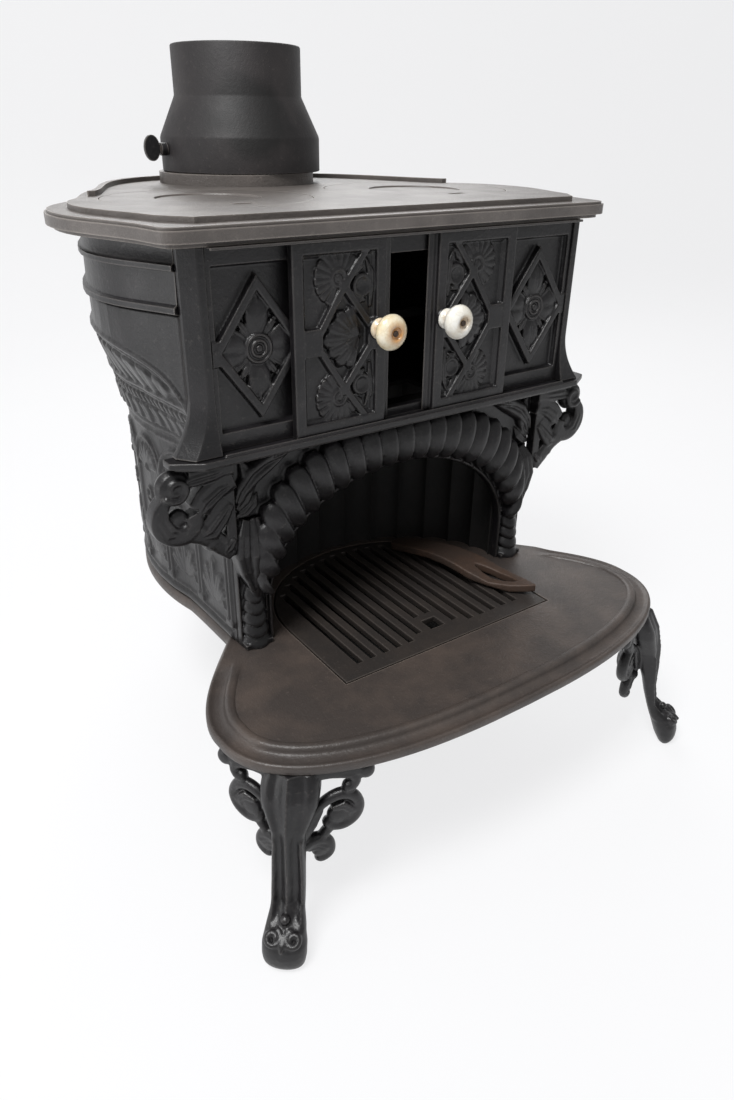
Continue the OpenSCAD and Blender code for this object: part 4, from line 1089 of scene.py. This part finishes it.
def side_pattern():
    whole = bmesh.new()
    run = [6 + (SIDE - 12) * k / 60 for k in range(61)]
    for v, half, out in ((166, 4, 3.2), (173, 1.6, 2), (316, 1.6, 1.6), (325, 3, 3.4)):
        join(whole, bead([(u, v) for u in run], half, out))
    for below, half, out in ((5, 3.2, 3.4), (12, 1.4, 1.8)):
        join(whole, bead([(u, arch_edge(u) - below) for u in run], half, out))
    cornice = [u for u in [6 + (SIDE - 12) * k / 90 for k in range(91)] if arch_edge(u) > 382]
    span = cornice[-1] - cornice[0]
    for v, half, out in ((371, 3, 4.2), (365, 1.6, 2.4)):
        join(whole, bead([(u, v) for u in cornice], half, out))
    for k in range(round(span / TOOTH)):
        u = cornice[0] + TOOTH * (k + 0.5)
        join(whole, block(u - 2.4, u + 2.4, 352, 360, -1.5, 2.4))
    wide = (SIDE - 16) / NICHES
    for k in range(NICHES + 1):
        u = 8 + wide * k
        join(whole, *[rod([(u + du, 178 + 12 * j, 0.4) for j in range(9)], 2, sides=8) for du in (-3, 3)],
             block(u - 6, u + 6, 175, 181, -1.5, 3), block(u - 6, u + 6, 273, 279, -1.5, 3))
    for k in range(NICHES):
        u = 8 + wide * (k + 0.5)
        r = wide / 2 - 1
        join(whole, bead([(u - r * cos(pi * j / 20), 279 + 1.05 * r * sin(pi * j / 20))
                          for j in range(21)], 2.6, 3))
        for j in range(7):
            a = pi * (j + 0.5) / 7
            ray = [polar(q, a, u, 277) for q in (4, 7, 11, 15, 18, r - 4)]
            join(whole, leaf(ray, 3.6, 2.8, 0.2, shape=DAISY))
        join(whole, turned([(0, 3.6), (3, 3), (4.4, 1), (4.6, -1.5), (0, -1.5)], u, 277, 12),
             bead([(u - r + 9, 186), (u, 228), (u + r - 9, 186)], 1.4, 1.8))
        for turn, length in ((90, 44), (66, 36), (114, 36), (42, 27), (138, 27)):
            ray = [polar(length * q, radians(turn), u, 186) for q in (0.1, 0.3, 0.5, 0.7, 0.9, 1)]
            join(whole, leaf(ray, 5, 3.2, 0.4))
        join(whole, rod([(*p, 1) for p in spiral(u, 250, 9, 2, -90, 330, 20)], 1.8, sides=8))
    rise = (0, 0.25, 0.5, 0.75, 0.92, 1)
    for k in range(17):
        u = 14 + (SIDE - 28) * k / 16
        top = min(349, arch_edge(u) - 16)
        if top > 339:
            spine = [(u, 330 + (top - 330) * q, 0.4) for q in rise]
            join(whole, leaf(spine, (SIDE - 28) / 36, 3, 0.3, shape=DAISY))
    mid = (cornice[0] + cornice[-1]) / 2
    for k in range(-7, 8):
        u = mid + k * span / 16
        top = arch_edge(u + k * 1.5) - 16
        if top > 380:
            spine = [(u + k * 1.5 * q * q, 375 + (top - 375) * q, 0.8) for q in rise]
            join(whole, leaf(spine, span / 30, 3.2, 0.35))
    return whole


for side, name in pair("side"):
    relief = moved(side_pattern(), lambda u, v, w: on_wall(u, v, w, side))
    cast(name, join(copy_of(name), relief), grid=1.2, soften=2, keep=0.3)

# %% [markdown]
# The flue bonnet, the knobs and the heads of their screws are turned shapes. The bonnet's profile is
# spun round its axis, and a small bevel at the rims keeps it from looking machined.

# %% Turned pieces
PIPE_X, PIPE_Y = 6, 290
BONNET = [(73, 513.4), (76.4, 513.4), (77, 514), (77, 542), (76.4, 544.2), (61.2, 576), (60.5, 578),
          (60.5, 617.6), (59.9, 618.6), (58.8, 619), (57.2, 618.8), (56.5, 618), (56.5, 575.5), (73, 541.5),
          (73, 513.4)]
bonnet = moved(turned(BONNET, steps=96), lambda u, v, w: at(PIPE_X + u, PIPE_Y + v, w))
smooth(show("flue_bonnet", bonnet, bonnet_iron), 40)

for side, x in KNOB_X.items():
    node = "knob_screw_" + side
    depths = [v.co.y / MM - PANELS_Y for v in frame["nodes"][node].data.vertices]
    front, length = min(depths), max(depths) - min(depths)
    head = turned([(0, -0.2), (1.6, -0.5), (2.3, -1.2), (2.5, -2.2), (1.9, -2.6), (1.9, -length),
                   (0, -length)], x, KNOB_Z)
    show(node, moved(head, lambda u, v, w: at(u, front - w, v)), screw_steel, node + "_head")

for node, material in (("knob_left", cream_porcelain), ("knob_right", white_porcelain)):
    smooth(show(node, copy_of(node), material, node + "_glazed"), 60)
